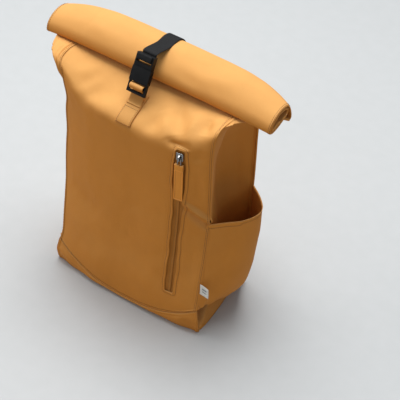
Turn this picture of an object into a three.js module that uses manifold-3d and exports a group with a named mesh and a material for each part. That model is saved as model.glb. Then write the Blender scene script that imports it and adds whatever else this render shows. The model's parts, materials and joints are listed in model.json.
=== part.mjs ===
// Rolltop backpack, standing closed on its base. Millimetres, +Z up, -Y is the front, X is the width.
// The origin is on the floor under the middle of the bag.
import * as THREE from 'three';
import { mergeVertices } from 'three/addons/utils/BufferGeometryUtils.js';
import Module from 'manifold-3d';

const wasm = await Module();
wasm.setup();

// Driving dimensions.
const bodyWidth = 280;
const bodyDepth = 143;
const shoulderHeight = 350;
const neckHeight = 405;
const clothWall = 1.2;
const layerGap = 0.7;
const seamGap = 0.3;
const innerEase = 0.6;
const clearance = 0.35;
const baseSeamMiddle = 9;
const baseSeamCorner = 50;
const baseSeamRear = 12;
const rollDepth = 58;
const rollThickness = 32;
const rollSwell = 20;
const rollLift = 6;
const rollSetback = 62.5;
const rollRest = 3.6;
const rollGap = 1.8;
const rollTiltDeg = 15.5;
const rollTurns = 1.75;
const rollTopShare = 0.62;
const rollFlatness = { outside: 0.8, inside: 1 };
const rollEase = 4;
const neckInset = 23;
const pocketTop = 217;
const pocketBulge = 46;
const flatPocketBulge = 15;
const zipWindowWidth = 17;
const zipCutDepth = 6;
const zipTopRise = 10;
const zipBottomHeight = 68;
const zipBottomInset = 50;
const zipTopInset = 47;
const tapeThickness = 0.9;
const tapeHem = 3;
const chainWidth = 6;
const chainHeight = 1.6;
const sliderWidth = 11;
const sliderLength = 14;
const sliderPlate = 1.6;
const sliderShare = 0.94;
const bridgeWidth = 3;
const bridgeRoom = 2.2;
const pullTabWidth = 13;
const pullTabLength = 66;
const pullTabWall = 1.1;
const linkWidth = 7;
const linkWire = 1.5;
const linkLength = 15;
const linkHeld = 5;
const webbingWidth = 25;
const webbingThickness = 1.5;
const tabWidth = 26;
const tabThickness = 1.6;
const strapAcross = -9;
const buckleWidth = 33;
const buckleLength = 62;
const buckleThickness = 9;
const buckleSlopeDeg = 63;
const buckleStandoff = 15;
const buckleRow = 4.05;
const buckleBar = 4;
const buckleSlot = 5;
const buckleRim = 2;
const socketLength = 23;
const socketRoof = 3;
const releaseLength = 11;
const prongWidth = 5;
const prongThickness = 4.8;
const labelWidth = 17;
const labelHeight = 21;
const labelThickness = 1;
const labelMiddle = 95;
const padWidth = 62;
const padThickness = 9;
const padStandoff = 44;
const adjusterWidth = 34;
const adjusterLength = 30;
const adjusterThickness = 3.5;
const adjusterBar = 4;
const webbingTail = 14;
const keeperTail = 22;
const anchorHeight = 22;
const anchorAcross = 0.78;
const haulReach = 34;

const halfWidth = bodyWidth / 2;
const halfDepth = bodyDepth / 2;
const zipLength = shoulderHeight + zipTopRise - zipBottomHeight;
const rollHalf = (bodyWidth + bodyDepth) / 2;
const foldReach = rollHalf - halfWidth;
const roofRise = neckHeight - shoulderHeight;
const tubeHalf = clothWall + layerGap / 2;
const turnSpacing = 2 * tubeHalf + rollGap;
const frontColumns = 8;
const sideColumns = 8;
const backColumns = 8;
const cornerRight = frontColumns;
const cornerBackRight = cornerRight + sideColumns;
const cornerBackLeft = cornerBackRight + backColumns;
const stationCount = cornerBackLeft + sideColumns;

const { lerp, degToRad } = THREE.MathUtils;
const vec = (x, y, z) => new THREE.Vector3(x, y, z);
const table = (names, rows) =>
  rows.map((row) => Object.fromEntries(names.split(' ').map((name, i) => [name, row[i]])));

// Base band, from the floor edge to the base seam. up is the share of the seam's height at each place,
// widths are shares of half the body's width and y values shares of half its depth.
const baseRows = table('up frontY bulge frontX leftX quarterX midX rearX backX backY', [
  [0.0, -1.06, 0.06, 1.045, 1.05, 1.02, 0.99, 0.957, 0.993, 1.02],
  [0.45, -1.09, 0.12, 1.045, 1.03, 0.975, 0.95, 0.945, 1.0, 1.02],
  [1.0, -1.055, 0.17, 1.0, 0.985, 0.95, 0.935, 0.94, 1.0, 1.01],
]);

// Upright walls, up as a share of the shoulder height. The side values give the hollow between the seams.
const bodyRows = table('up frontY bulge quarterX midX rearX backY leftX', [
  [0.2, -0.985, 0.22, 0.945, 0.9, 0.93, 1.01, 0.972],
  [0.31, -0.9, 0.25, 0.94, 0.875, 0.9, 1.0, 0.972],
  [0.45, -0.79, 0.3, 0.945, 0.862, 0.89, 1.0, 0.985],
  [0.62, -0.7, 0.35, 0.95, 0.857, 0.885, 1.0, 1.0],
  [0.76, -0.695, 0.33, 0.957, 0.857, 0.885, 0.99, 0.98],
  [0.89, -0.71, 0.31, 0.965, 0.86, 0.895, 0.98, 0.975],
  [1.0, -0.73, 0.32, 0.975, 0.87, 0.91, 0.98, 0.968],
]);

// Roof and wings, from the shoulder to the neck. Out is a share of the wing's reach past the seam, y of
// half the depth, up of the rise from shoulder to neck, and bulge and dip shape the sagging roof panel.
const neckRows = table(
  'seamY seamUp bulge dip browOut browY browUp foldOut foldY foldUp rearOut rearY rearUp backY backUp', [
    [-0.715, 0.36, 0.35, 0.19, -0.05, -0.3, 0.25, -0.22, 0.13, 0.18, -0.13, 0.56, 0.2, 0.98, 0.15],
    [-0.69, 0.66, 0.27, 0.42, -0.01, -0.34, 0.62, -0.13, 0.17, 0.4, -0.06, 0.57, 0.42, 0.975, 0.28],
    [-0.6, 0.82, 0.16, 0.48, 0.05, -0.28, 0.81, 0.07, 0.24, 0.62, 0.07, 0.63, 0.61, 0.965, 0.42],
    [-0.35, 0.9, 0.15, 0.38, 0.2, -0.12, 0.87, 0.38, 0.35, 0.79, 0.24, 0.71, 0.79, 0.94, 0.6],
    [0.0, 0.93, 0.1, 0.15, 0.42, 0.06, 0.92, 0.72, 0.48, 0.9, 0.44, 0.76, 0.9, 0.89, 0.78],
    [0.4, 0.95, 0.02, 0.04, 0.56, 0.46, 0.95, 0.92, 0.6, 0.95, 0.56, 0.76, 0.96, 0.84, 0.91],
  ]);

// The left wing flares further out and forward than the right one.
const leftBrow = table('seamOut out y up', [
  [-0.05, -0.04, -0.3, 0.27], [-0.04, -0.01, -0.33, 0.63], [-0.02, 0.08, -0.3, 0.82],
  [0.04, 0.28, -0.2, 0.88], [0.04, 0.46, 0.03, 0.925], [0.02, 0.58, 0.44, 0.95],
]);

// Where the side panel's columns lie across the flattened tube, as shares of the way from seam to fold.
const flatShares = [0, 0.35, 0.7, 0.965, 1];

const bulgeProfile = (share) => 1 - Math.abs(share) ** 3;

function baseSeamHeight(station) {
  const wrapped = station % stationCount;
  if (wrapped <= cornerRight) {
    const share = Math.abs(2 * wrapped / frontColumns - 1);
    return lerp(baseSeamMiddle, baseSeamCorner, share ** 2.2);
  }
  if (wrapped <= cornerBackRight) {
    return lerp(baseSeamCorner, baseSeamRear, (wrapped - cornerRight) / sideColumns);
  }
  if (wrapped <= cornerBackLeft) return baseSeamRear;
  return lerp(baseSeamRear, baseSeamCorner, (wrapped - cornerBackLeft) / sideColumns);
}

// One ring of the bag: a bulged front, two sides through five points each, and a straight back.
function ringOf({ bulge, dip, side, back, lift }) {
  const points = [];
  const right = side(1);
  const left = side(-1).reverse();
  const seamLeft = left.at(-1);
  for (let i = 0; i <= frontColumns; i += 1) {
    const share = i / frontColumns;
    const fullness = bulgeProfile(2 * share - 1);
    points.push(seamLeft.clone().lerp(right[0], share).add(vec(0, -bulge * fullness, -dip * fullness)));
  }
  points.push(...right.slice(1));
  for (let i = 1; i < backColumns; i += 1) {
    points.push(vec(lerp(back.x, -back.x, i / backColumns), back.y, back.z));
  }
  points.push(...left.slice(0, -1));
  if (lift) points.forEach((point, station) => { point.z = lift(station); });
  return points;
}

const smoothSide = (controls) => {
  const curve = new THREE.CatmullRomCurve3(controls, false, 'catmullrom', 0.5);
  return Array.from({ length: sideColumns + 1 }, (_, i) => curve.getPoint(i / sideColumns));
};

function wallRing(row, lift) {
  const frontX = { 1: (row.frontX ?? 1) * halfWidth, [-1]: row.leftX * halfWidth };
  const backX = (row.backX ?? 1) * halfWidth;
  const frontY = row.frontY * halfDepth;
  const backY = row.backY * halfDepth;
  const hollow = { 1: 1, [-1]: 0.35 };
  const side = (sign) => {
    const inward = (share, edge) => sign * lerp(edge, share * halfWidth, hollow[sign]);
    return smoothSide([
      vec(sign * frontX[sign], frontY, 0),
      vec(inward(row.quarterX, frontX[sign]), lerp(frontY, backY, 0.25), 0),
      vec(inward(row.midX, lerp(frontX[sign], backX, 0.5)), lerp(frontY, backY, 0.5), 0),
      vec(inward(row.rearX, backX), lerp(frontY, backY, 0.75), 0),
      vec(sign * backX, backY, 0),
    ]);
  };
  return ringOf({ bulge: row.bulge * halfDepth, dip: 0, side, back: vec(backX, backY, 0), lift });
}

function roofRing(row, index) {
  const at = (out, y, up) => vec(halfWidth + out * foldReach, y * halfDepth, shoulderHeight + up * roofRise);
  const flare = leftBrow[index];
  const back = at(0, row.backY, row.backUp);
  const controls = (seamOut, brow) => [
    at(seamOut, row.seamY, row.seamUp),
    brow,
    at(row.foldOut, row.foldY, row.foldUp),
    at(row.rearOut, row.rearY, row.rearUp),
    back,
  ];
  const right = controls(0, at(row.browOut, row.browY, row.browUp));
  const left = controls(flare.seamOut, at(flare.out, flare.y, flare.up));
  const side = (sign) => {
    const points = sign > 0 ? right : left;
    return smoothSide(points.map((point) => vec(sign * point.x, point.y, point.z)));
  };
  return ringOf({ bulge: row.bulge * halfDepth, dip: row.dip * roofRise, side, back });
}

// The flattened tube's middle line, seen from the side: up out of the neck, then rolled forward and inward
// round a D with its flat side down. The roll swells backwards and upwards towards its middle.
const stepsPerTurn = 12;
const rollSteps = Math.round(rollTurns * stepsPerTurn);

function rollPath(x) {
  const tilt = degToRad(rollTiltDeg);
  const swell = 1 - Math.abs(x / rollHalf) ** rollEase;
  const halfAlong = (rollDepth + swell * rollSwell) / 2 - tubeHalf;
  const height = rollThickness + swell * rollLift;
  const centre = {
    y: -halfDepth + rollSetback + tubeHalf + halfAlong * Math.cos(tilt),
    z: neckHeight + rollRest + height * (1 - rollTopShare),
  };
  const path = [{ y: halfDepth - neckInset + swell * rollSwell / 2, z: neckHeight }];
  for (let step = 0; step <= rollSteps; step += 1) {
    const angle = step / stepsPerTurn * 2 * Math.PI;
    const shrink = turnSpacing * step / stepsPerTurn;
    const rising = Math.sin(angle) > 0;
    const flatness = lerp(rollFlatness.outside, rollFlatness.inside, Math.min(1, 1.3 * step / rollSteps));
    const reach = height * (rising ? rollTopShare : 1 - rollTopShare) - tubeHalf - shrink;
    const along = (halfAlong - shrink) * Math.cos(angle);
    const across = reach * (rising ? Math.sin(angle) : -(Math.abs(Math.sin(angle)) ** flatness));
    path.push({
      y: centre.y + along * Math.cos(tilt) - across * Math.sin(tilt),
      z: centre.z + along * Math.sin(tilt) + across * Math.cos(tilt),
    });
  }
  const segmentNormal = (i) => {
    const [from, to] = [path[i], path[i + 1]];
    return new THREE.Vector2(to.z - from.z, from.y - to.y).normalize();
  };
  return path.map((point, i) => {
    const before = segmentNormal(Math.max(i - 1, 0));
    const after = segmentNormal(Math.min(i, path.length - 2));
    const normal = before.clone().add(after).normalize();
    return { ...point, normal: normal.divideScalar(Math.max(0.6, normal.dot(after))) };
  });
}

// Where each column lies across the tube, and on which layer: -1 inside the roll, 1 outside, 0 at a fold.
function tubeStations() {
  const across = flatShares.map((share) => halfWidth + share * foldReach);
  const side = [
    ...across.slice(0, -1).map((x) => ({ x, layer: -1 })),
    { x: across.at(-1), layer: 0 },
    ...across.slice(0, -1).reverse().map((x) => ({ x, layer: 1 })),
  ];
  const row = (columns, layer, sign) => Array.from({ length: columns - 1 }, (_, i) =>
    ({ x: sign * halfWidth * (2 * (i + 1) / columns - 1), layer }));
  const mirrored = side.map(({ x, layer }) => ({ x: -x, layer })).reverse();
  const front = [mirrored.pop(), ...row(frontColumns, -1, 1)];
  return [...front, ...side, ...row(backColumns, 1, -1), ...mirrored];
}
const stationPaths = tubeStations().map((station) => ({ ...station, path: rollPath(station.x) }));
const tubeRing = (step) => stationPaths.map(({ x, layer, path }) => {
  const { y, z, normal } = path[step];
  return vec(x, y + layer * tubeHalf * normal.x, z + layer * tubeHalf * normal.y);
});

const floorInset = 0.9;
const floorRing = wallRing(baseRows[0], () => 0);
const rings = [
  floorRing.map((point) => vec(point.x * floorInset, point.y * floorInset, 0)),
  ...baseRows.map((row) => wallRing(row, (station) => row.up * baseSeamHeight(station))),
  ...bodyRows.map((row) => wallRing(row, () => row.up * shoulderHeight)),
  ...neckRows.map(roofRing),
  ...Array.from({ length: rollSteps + 2 }, (_, step) => tubeRing(step)),
];
const baseSeamRow = baseRows.length;
const shoulderRow = baseSeamRow + bodyRows.length;
const neckRow = shoulderRow + neckRows.length + 1;
const lastRow = rings.length - 1;

// The inner faces lie one cloth wall inside, along a normal that is mitred where the faces turn.
function innerRings(outer, wall) {
  const count = outer[0].length;
  const at = (i, j) => outer[i][(j + count) % count];
  const faceNormal = (i, j) => {
    const across = at(i + 1, j + 1).clone().sub(at(i, j));
    const back = at(i + 1, j).clone().sub(at(i, j + 1));
    return across.cross(back).normalize();
  };
  return outer.map((ring, i) => ring.map((point, j) => {
    const faces = [];
    for (const row of [i - 1, i]) {
      if (row < 0 || row >= outer.length - 1) continue;
      faces.push(faceNormal(row, j - 1), faceNormal(row, j));
    }
    const normal = faces.reduce((sum, face) => sum.add(face), vec(0, 0, 0)).normalize();
    const closest = Math.max(0.6, Math.min(...faces.map((face) => face.dot(normal))));
    return point.clone().addScaledVector(normal, -wall / closest);
  }));
}

const innerShell = innerRings(rings, clothWall);

// Closed solids.
function solidFrom(points, triangles) {
  const geometry = new THREE.BufferGeometry();
  geometry.setAttribute('position', new THREE.Float32BufferAttribute(points.flatMap((p) => p.toArray()), 3));
  geometry.setIndex(triangles.flat());
  const a = vec(0, 0, 0);
  const b = vec(0, 0, 0);
  let volume = 0;
  triangles.forEach(([i, j, k]) => {
    volume += points[i].dot(a.copy(points[j]).cross(b.copy(points[k])));
  });
  if (volume < 0) geometry.setIndex(triangles.flatMap(([i, j, k]) => [i, k, j]));
  return geometry;
}

// A wall between two matching grids of points, closed round its four edges.
function sheetSolid(outer, inner) {
  const rows = outer.length;
  const columns = outer[0].length;
  const points = [...outer.flat(), ...inner.flat()];
  const index = (i, j) => i * columns + j;
  const offset = rows * columns;
  const triangles = [];
  for (let i = 0; i < rows - 1; i += 1) {
    for (let j = 0; j < columns - 1; j += 1) {
      const corners = [index(i, j), index(i, j + 1), index(i + 1, j + 1), index(i + 1, j)];
      const [p, q, r, s] = corners.map((corner) => points[corner]);
      if (p.distanceTo(r) > q.distanceTo(s)) corners.push(corners.shift());
      const [a, b, c, d] = corners;
      triangles.push([a, b, c], [a, c, d]);
      triangles.push([a + offset, c + offset, b + offset], [a + offset, d + offset, c + offset]);
    }
  }
  const edge = [];
  for (let j = 0; j < columns - 1; j += 1) edge.push(index(0, j));
  for (let i = 0; i < rows - 1; i += 1) edge.push(index(i, columns - 1));
  for (let j = columns - 1; j > 0; j -= 1) edge.push(index(rows - 1, j));
  for (let i = rows - 1; i > 0; i -= 1) edge.push(index(i, 0));
  edge.forEach((a, k) => {
    const b = edge[(k + 1) % edge.length];
    triangles.push([b, a, a + offset], [b, a + offset, b + offset]);
  });
  return solidFrom(points, triangles);
}

// A row of closed loops, with a fan of triangles over each end.
function loopSolid(loops) {
  const sides = loops[0].length;
  const points = loops.flat();
  const triangles = [];
  for (let i = 0; i < loops.length - 1; i += 1) {
    for (let j = 0; j < sides; j += 1) {
      const [a, b] = [i * sides + j, i * sides + (j + 1) % sides];
      triangles.push([a, b, b + sides], [a, b + sides, a + sides]);
    }
  }
  const middleOf = (loop) => loop.reduce((sum, p) => sum.add(p), vec(0, 0, 0)).divideScalar(sides);
  const last = (loops.length - 1) * sides;
  const start = points.push(middleOf(loops[0])) - 1;
  const end = points.push(middleOf(loops.at(-1))) - 1;
  for (let j = 0; j < sides; j += 1) {
    const next = (j + 1) % sides;
    triangles.push([start, next, j], [end, last + j, last + next]);
  }
  return solidFrom(points, triangles);
}

// A band along a path, with its width along X and a section of [across, out] points.
function bandAlong(path, section) {
  const loops = path.map((point, i) => {
    const before = path[Math.max(i - 1, 0)];
    const after = path[Math.min(i + 1, path.length - 1)];
    const inward = i === 0 ? after.clone().sub(point) : point.clone().sub(before);
    const outward = i === path.length - 1 ? inward.clone() : after.clone().sub(point);
    const tangent = inward.normalize().add(outward.normalize()).normalize();
    const mitre = 1 / Math.max(0.7, tangent.dot(outward));
    const normal = vec(0, -tangent.z, tangent.y).normalize().multiplyScalar(mitre);
    return section.map(([across, out]) => point.clone().add(vec(across, 0, 0)).addScaledVector(normal, out));
  });
  return loopSolid(loops);
}

const flatSection = (width, thickness) => [
  [-width / 2, -thickness / 2], [width / 2, -thickness / 2],
  [width / 2, thickness / 2], [-width / 2, thickness / 2],
];

const paddedSection = (width, thickness) => [
  [-0.5, -0.12], [-0.42, -0.42], [-0.2, -0.5], [0.2, -0.5], [0.42, -0.42], [0.5, -0.12],
  [0.5, 0.12], [0.42, 0.42], [0.2, 0.5], [-0.2, 0.5], [-0.42, 0.42], [-0.5, 0.12],
].map(([across, out]) => [across * width, out * thickness]);

// Joining and cutting.
function toManifold(geometry) {
  const bare = geometry.clone();
  bare.deleteAttribute('normal');
  bare.deleteAttribute('uv');
  const merged = mergeVertices(bare, 1e-4);
  return new wasm.Manifold(new wasm.Mesh({
    numProp: 3,
    vertProperties: new Float32Array(merged.attributes.position.array),
    triVerts: new Uint32Array(merged.index.array),
  }));
}

function fromManifold(solid) {
  const { vertProperties, triVerts } = solid.getMesh();
  const geometry = new THREE.BufferGeometry();
  geometry.setAttribute('position', new THREE.BufferAttribute(new Float32Array(vertProperties), 3));
  geometry.setIndex(new THREE.BufferAttribute(new Uint32Array(triVerts), 1));
  return geometry;
}

function shaped(start, { join = [], cut = [] }) {
  let solid = toManifold(start);
  for (const piece of join) solid = solid.add(toManifold(piece));
  for (const piece of cut) solid = solid.subtract(toManifold(piece));
  return fromManifold(solid);
}

// A block between two corners.
function block([x0, y0, z0], [x1, y1, z1]) {
  const geometry = new THREE.BoxGeometry(x1 - x0, y1 - y0, z1 - z0);
  return geometry.translate((x0 + x1) / 2, (y0 + y1) / 2, (z0 + z1) / 2);
}

// Materials.
const finish = (color, roughness, metalness = 0) =>
  new THREE.MeshStandardMaterial({ color, roughness, metalness });
const cloth = finish(0xc98a3c, 0.95);
const hiddenCloth = finish(0xb87a32, 0.95);
const blackWebbing = finish(0x17171a, 0.85);
const blackPlastic = finish(0x1b1b1e, 0.45);
const tapeCloth = finish(0xa86f2c, 0.95);
const metal = finish(0x6d6a66, 0.35, 0.9);
const labelCloth = finish(0xe9e4d8, 0.9);

const backpack = new THREE.Group();
function addPiece(name, geometry, material, parent = backpack) {
  const mesh = new THREE.Mesh(geometry, material);
  mesh.name = name;
  parent.add(mesh);
  return mesh;
}

// Cloth panels between the seams, pulled in along their edges by half the seam gap, and more inside.
function trimmed(grid, ease = 0) {
  const result = grid.map((row) => row.map((point) => point.clone()));
  const pull = (point, next) => {
    point.addScaledVector(next.clone().sub(point).normalize(), seamGap / 2 + ease);
  };
  const end = grid[0].length - 1;
  result.forEach((row, i) => {
    pull(row[0], grid[i][1]);
    pull(row[end], grid[i][end - 1]);
  });
  result[0].forEach((point, j) => pull(point, grid[1][j]));
  return result;
}

const patch = (grid, from, to, firstRow) => grid.slice(firstRow).map((ring) => {
  const open = [...ring, ring[0]];
  return open.slice(from, to + 1);
});

function panel(from, to) {
  const outer = trimmed(patch(rings, from, to, baseSeamRow));
  const inner = trimmed(patch(innerShell, from, to, baseSeamRow), innerEase);
  return sheetSolid(outer, inner);
}

// Places on the front, by height and distance across, and the outward direction there.
function frontRowPoint(i, across) {
  const [left, right] = [rings[i][0].x, rings[i][cornerRight].x];
  const share = (across - left) / (right - left);
  const column = THREE.MathUtils.clamp(share * frontColumns, 0, frontColumns - 1e-6);
  const j = Math.floor(column);
  return rings[i][j].clone().lerp(rings[i][j + 1], column - j);
}

function frontPoint(across, height) {
  let i = baseSeamRow;
  while (i < neckRow - 1 && frontRowPoint(i + 1, across).z < height) i += 1;
  const low = frontRowPoint(i, across);
  const high = frontRowPoint(i + 1, across);
  return low.lerp(high, (height - low.z) / (high.z - low.z));
}

function frontNormal(across, height, step = 4) {
  const alongX = frontPoint(across + step, height).sub(frontPoint(across - step, height));
  const alongZ = frontPoint(across, height + step).sub(frontPoint(across, height - step));
  return alongX.cross(alongZ).normalize();
}

// The zip's line runs nearly upright, and its strips follow the front at a depth under its face.
const zipAcross = (share) => halfWidth - lerp(zipBottomInset, zipTopInset, share);
const zipPoint = (share, offset, depth) => {
  const across = zipAcross(share) + offset;
  const height = zipBottomHeight + share * zipLength;
  return frontPoint(across, height).addScaledVector(frontNormal(across, height), -depth);
};

function zipStrip({ from, to, left, right, outerDepth, innerDepth, rows = 22, roundEnds = false }) {
  const columns = 2;
  const grid = (depth) => Array.from({ length: rows + 1 }, (_, i) => {
    const endAngle = roundEnds ? Math.PI * i / rows : 0;
    const share = roundEnds ? lerp(from, to, (1 - Math.cos(endAngle)) / 2) : lerp(from, to, i / rows);
    const fromEnd = Math.min(share - from, to - share) * zipLength / (zipWindowWidth * 0.3);
    const narrow = roundEnds ? lerp(0.62, 1, Math.sqrt(Math.min(1, fromEnd))) : 1;
    return Array.from({ length: columns + 1 }, (__, j) =>
      zipPoint(share, lerp(left, right, j / columns) * narrow, depth));
  });
  return sheetSolid(grid(outerDepth), grid(innerDepth));
}

const frontFull = panel(0, cornerRight);
const windowCutter = zipStrip({
  from: 0, to: 1, left: -zipWindowWidth / 2, right: zipWindowWidth / 2,
  outerDepth: -zipCutDepth, innerDepth: zipCutDepth, rows: 26, roundEnds: true,
});
addPiece('front_panel', shaped(frontFull, { cut: [windowCutter] }), cloth);
addPiece('side_panel_right', panel(cornerRight, cornerBackRight), cloth);
addPiece('back_panel', panel(cornerBackRight, cornerBackLeft), hiddenCloth);
addPiece('side_panel_left', panel(cornerBackLeft, stationCount), cloth);

function basePanel() {
  const outer = rings.slice(0, baseSeamRow + 1).map((ring) => ring.map((point) => point.clone()));
  const inner = innerShell.slice(0, baseSeamRow + 1).map((ring) => ring.map((point) => point.clone()));
  for (const shell of [outer, inner]) {
    shell[baseSeamRow].forEach((point, j) => {
      point.addScaledVector(shell[baseSeamRow - 1][j].clone().sub(point).normalize(), seamGap / 2);
    });
  }
  return loopSolid([...outer, ...inner.reverse()]);
}
addPiece('base_panel', basePanel(), cloth);

// Side pockets: along is the share of the way from the front seam to the back seam.
const pocketColumns = table('along out', [
  [0.015, 0], [0.1, 0.2], [0.2, 0.44], [0.31, 0.74], [0.45, 0.94],
  [0.58, 1], [0.71, 0.87], [0.86, 0.46], [0.985, 0],
]);
const pocketRows = table('up out', [
  [0.03, 0.0], [0.0, 0.2], [0.08, 0.5], [0.18, 0.69], [0.38, 0.86], [0.6, 0.94], [0.8, 0.99], [1.0, 1.0],
]);

function sideSurface(sign, along, height) {
  const station = sign > 0 ? cornerRight + along * sideColumns : stationCount - along * sideColumns;
  const j = Math.min(Math.floor(station), stationCount - 1);
  const atRow = (i) => rings[i][j].clone().lerp(rings[i][(j + 1) % stationCount], station - j);
  let i = baseSeamRow;
  while (i < shoulderRow - 1 && atRow(i + 1).z < height) i += 1;
  const low = atRow(i);
  const high = atRow(i + 1);
  return low.lerp(high, Math.max(0, (height - low.z) / (high.z - low.z)));
}

function pocket(sign, bulge) {
  const grid = (offset) => pocketRows.map((row) => pocketColumns.map((column) => {
    const station = cornerRight + column.along * sideColumns;
    const bottom = baseSeamHeight(station) + 2;
    const height = lerp(bottom, pocketTop, row.up);
    const wall = sideSurface(sign, column.along, height);
    const chord = sideSurface(sign, 0, height).lerp(sideSurface(sign, 1, height), column.along);
    const full = chord.x + sign * bulge * column.out * row.out;
    const tuck = wall.x + sign * bulge * column.out * row.out;
    const x = row.out > 0 ? full : tuck;
    const outward = vec(sign * (clearance + offset), 0, 0);
    return vec(x, lerp(wall.y, chord.y, 0.5), height).add(outward);
  }));
  return sheetSolid(grid(clothWall), grid(0));
}
addPiece('pocket_right', pocket(1, pocketBulge), cloth);
addPiece('pocket_left', pocket(-1, flatPocketBulge), cloth);

// Zip: two tapes behind the window, the closed chain between them, and the slider on it.
const tapeDepth = clothWall + clearance + seamGap;
const tapeReach = zipWindowWidth / 2 + tapeHem;
for (const [name, sign] of [['zip_tape_left', -1], ['zip_tape_right', 1]]) {
  const edges = [sign * seamGap / 2, sign * tapeReach].sort((a, b) => a - b);
  addPiece(name, zipStrip({
    from: -0.008, to: 1.008, left: edges[0], right: edges[1],
    outerDepth: tapeDepth, innerDepth: tapeDepth + tapeThickness,
  }), tapeCloth);
}
const chainTop = tapeDepth - clearance - chainHeight;
addPiece('zip_chain', zipStrip({
  from: 0.012, to: 0.985, left: -chainWidth / 2, right: chainWidth / 2,
  outerDepth: chainTop, innerDepth: tapeDepth - clearance,
}), tapeCloth);

// The slider and its pull stand in a frame of their own: x across, y out of the bag, z up the zip.
const sliderBelow = zipPoint(sliderShare - pullTabLength / zipLength, 0, chainTop);
const sliderOrigin = zipPoint(sliderShare, 0, chainTop);
const sliderUp = sliderOrigin.clone().sub(sliderBelow).normalize();
const sliderOut = frontNormal(zipAcross(sliderShare), sliderOrigin.z);
sliderOut.addScaledVector(sliderUp, -sliderOut.dot(sliderUp)).normalize();
const sliderAcross = sliderOut.clone().cross(sliderUp);
const slider = new THREE.Group();
slider.matrixAutoUpdate = false;
slider.matrix.makeBasis(sliderAcross, sliderOut, sliderUp).setPosition(sliderOrigin);
backpack.add(slider);

const plateTop = clearance + sliderPlate;
const bridgeTop = plateTop + linkWire + bridgeRoom;
function zipSlider() {
  const half = sliderWidth / 2;
  const plate = block([-half, clearance, -sliderLength / 2], [half, plateTop, sliderLength / 2]);
  const bridge = block(
    [-bridgeWidth / 2, plateTop - sliderPlate / 2, -sliderLength * 0.32],
    [bridgeWidth / 2, bridgeTop + sliderPlate, sliderLength * 0.32]);
  const arch = block([-half, plateTop, -sliderLength * 0.2], [half, bridgeTop, sliderLength * 0.2]);
  return shaped(plate, { join: [shaped(bridge, { cut: [arch] })] });
}
addPiece('zip_slider', zipSlider(), metal, slider);

// The pull link is a flat frame whose top bar turns under the bridge. Its lower end is held in the cloth tab.
const linkLevel = plateTop + clearance;
function pullLink() {
  const half = linkWidth / 2;
  const frame = block([-half, linkLevel, -linkLength], [half, linkLevel + linkWire, linkWire / 2]);
  const hole = block(
    [-half + linkWire, linkLevel - linkWire, -linkLength + linkWire],
    [half - linkWire, linkLevel + 2 * linkWire, -linkWire / 2]);
  return shaped(frame, { cut: [hole] });
}
addPiece('zip_pull_link', pullLink(), metal, slider);

function pullTab() {
  const middle = linkLevel + linkWire / 2;
  const top = -linkLength + linkHeld;
  const slotHalf = linkWire / 2 + clearance;
  const half = pullTabWidth / 2;
  const lower = block(
    [-half, middle - pullTabWall, top - pullTabLength], [half, middle + pullTabWall, top - linkHeld]);
  const upper = block(
    [-half, middle - slotHalf - pullTabWall, top - 2 * linkHeld],
    [half, middle + slotHalf + pullTabWall, top]);
  const slot = block(
    [-linkWidth / 2 - clearance, middle - slotHalf, top - linkHeld - clearance],
    [linkWidth / 2 + clearance, middle + slotHalf, top + linkHeld]);
  return shaped(lower, { join: [upper], cut: [slot] });
}
addPiece('zip_pull_tab', pullTab(), cloth, slider);

// Front tab, sewn on the roof under the buckle.
function roofPoint(across, row, lift) {
  const [i, share] = [Math.floor(row), row - Math.floor(row)];
  const low = frontRowPoint(i, across);
  const high = frontRowPoint(i + 1, across);
  const normal = vec(0, -(high.z - low.z), high.y - low.y).normalize();
  return low.lerp(high, share).addScaledVector(normal, lift);
}
const tabFirstRow = shoulderRow + 0.95;
const tabLastRow = shoulderRow + 4.3;
function frontTab() {
  const rows = [tabFirstRow, 1, 2, 3, 4, tabLastRow].map((row, i) => (i % 5 ? shoulderRow + row : row));
  const grid = (lift) => rows.map((row) => {
    return [-0.5, -0.25, 0, 0.25, 0.5].map((share) => roofPoint(strapAcross + share * tabWidth, row, lift));
  });
  return sheetSolid(grid(clearance + tabThickness), grid(clearance));
}
addPiece('front_tab', frontTab(), cloth);

// Side-release buckle in its own frame: x across, y into the bag, z up along the strap.
const buckleBase = roofPoint(strapAcross, shoulderRow + buckleRow, buckleStandoff);
const buckle = new THREE.Group();
buckle.position.copy(buckleBase);
buckle.rotation.x = -degToRad(90 - buckleSlopeDeg);
backpack.add(buckle);

const halfBuckle = buckleWidth / 2;
const slotReach = webbingWidth / 2 + 2 * clearance;
const barsTop = 2 * (buckleBar + buckleSlot);
const socketTop = barsTop + socketLength;
const shellHalf = buckleThickness / 2;
const barHalf = 0.6 * shellHalf;
const prongHalf = prongThickness / 2;
const releaseLow = barsTop + 2 * socketRoof;
const slotThrough = (low) =>
  block([-slotReach, -buckleThickness, low], [slotReach, buckleThickness, low + buckleSlot]);
function buckleSocket() {
  const bars = block([-halfBuckle, -barHalf, 0], [halfBuckle, barHalf, barsTop + socketRoof / 2]);
  const shell = block([-halfBuckle, -shellHalf, barsTop], [halfBuckle, shellHalf, socketTop]);
  const roomHalf = prongHalf + clearance;
  const cavity = block(
    [buckleRim - halfBuckle, -roomHalf, barsTop + socketRoof],
    [halfBuckle - buckleRim, roomHalf, socketTop + socketRoof]);
  const releases = block(
    [-buckleWidth, -roomHalf, releaseLow], [buckleWidth, roomHalf, releaseLow + releaseLength]);
  const slots = [slotThrough(buckleBar), slotThrough(2 * buckleBar + buckleSlot)];
  return shaped(bars, { join: [shell], cut: [...slots, cavity, releases] });
}
addPiece('buckle_socket', buckleSocket(), blackPlastic, buckle);

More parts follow.
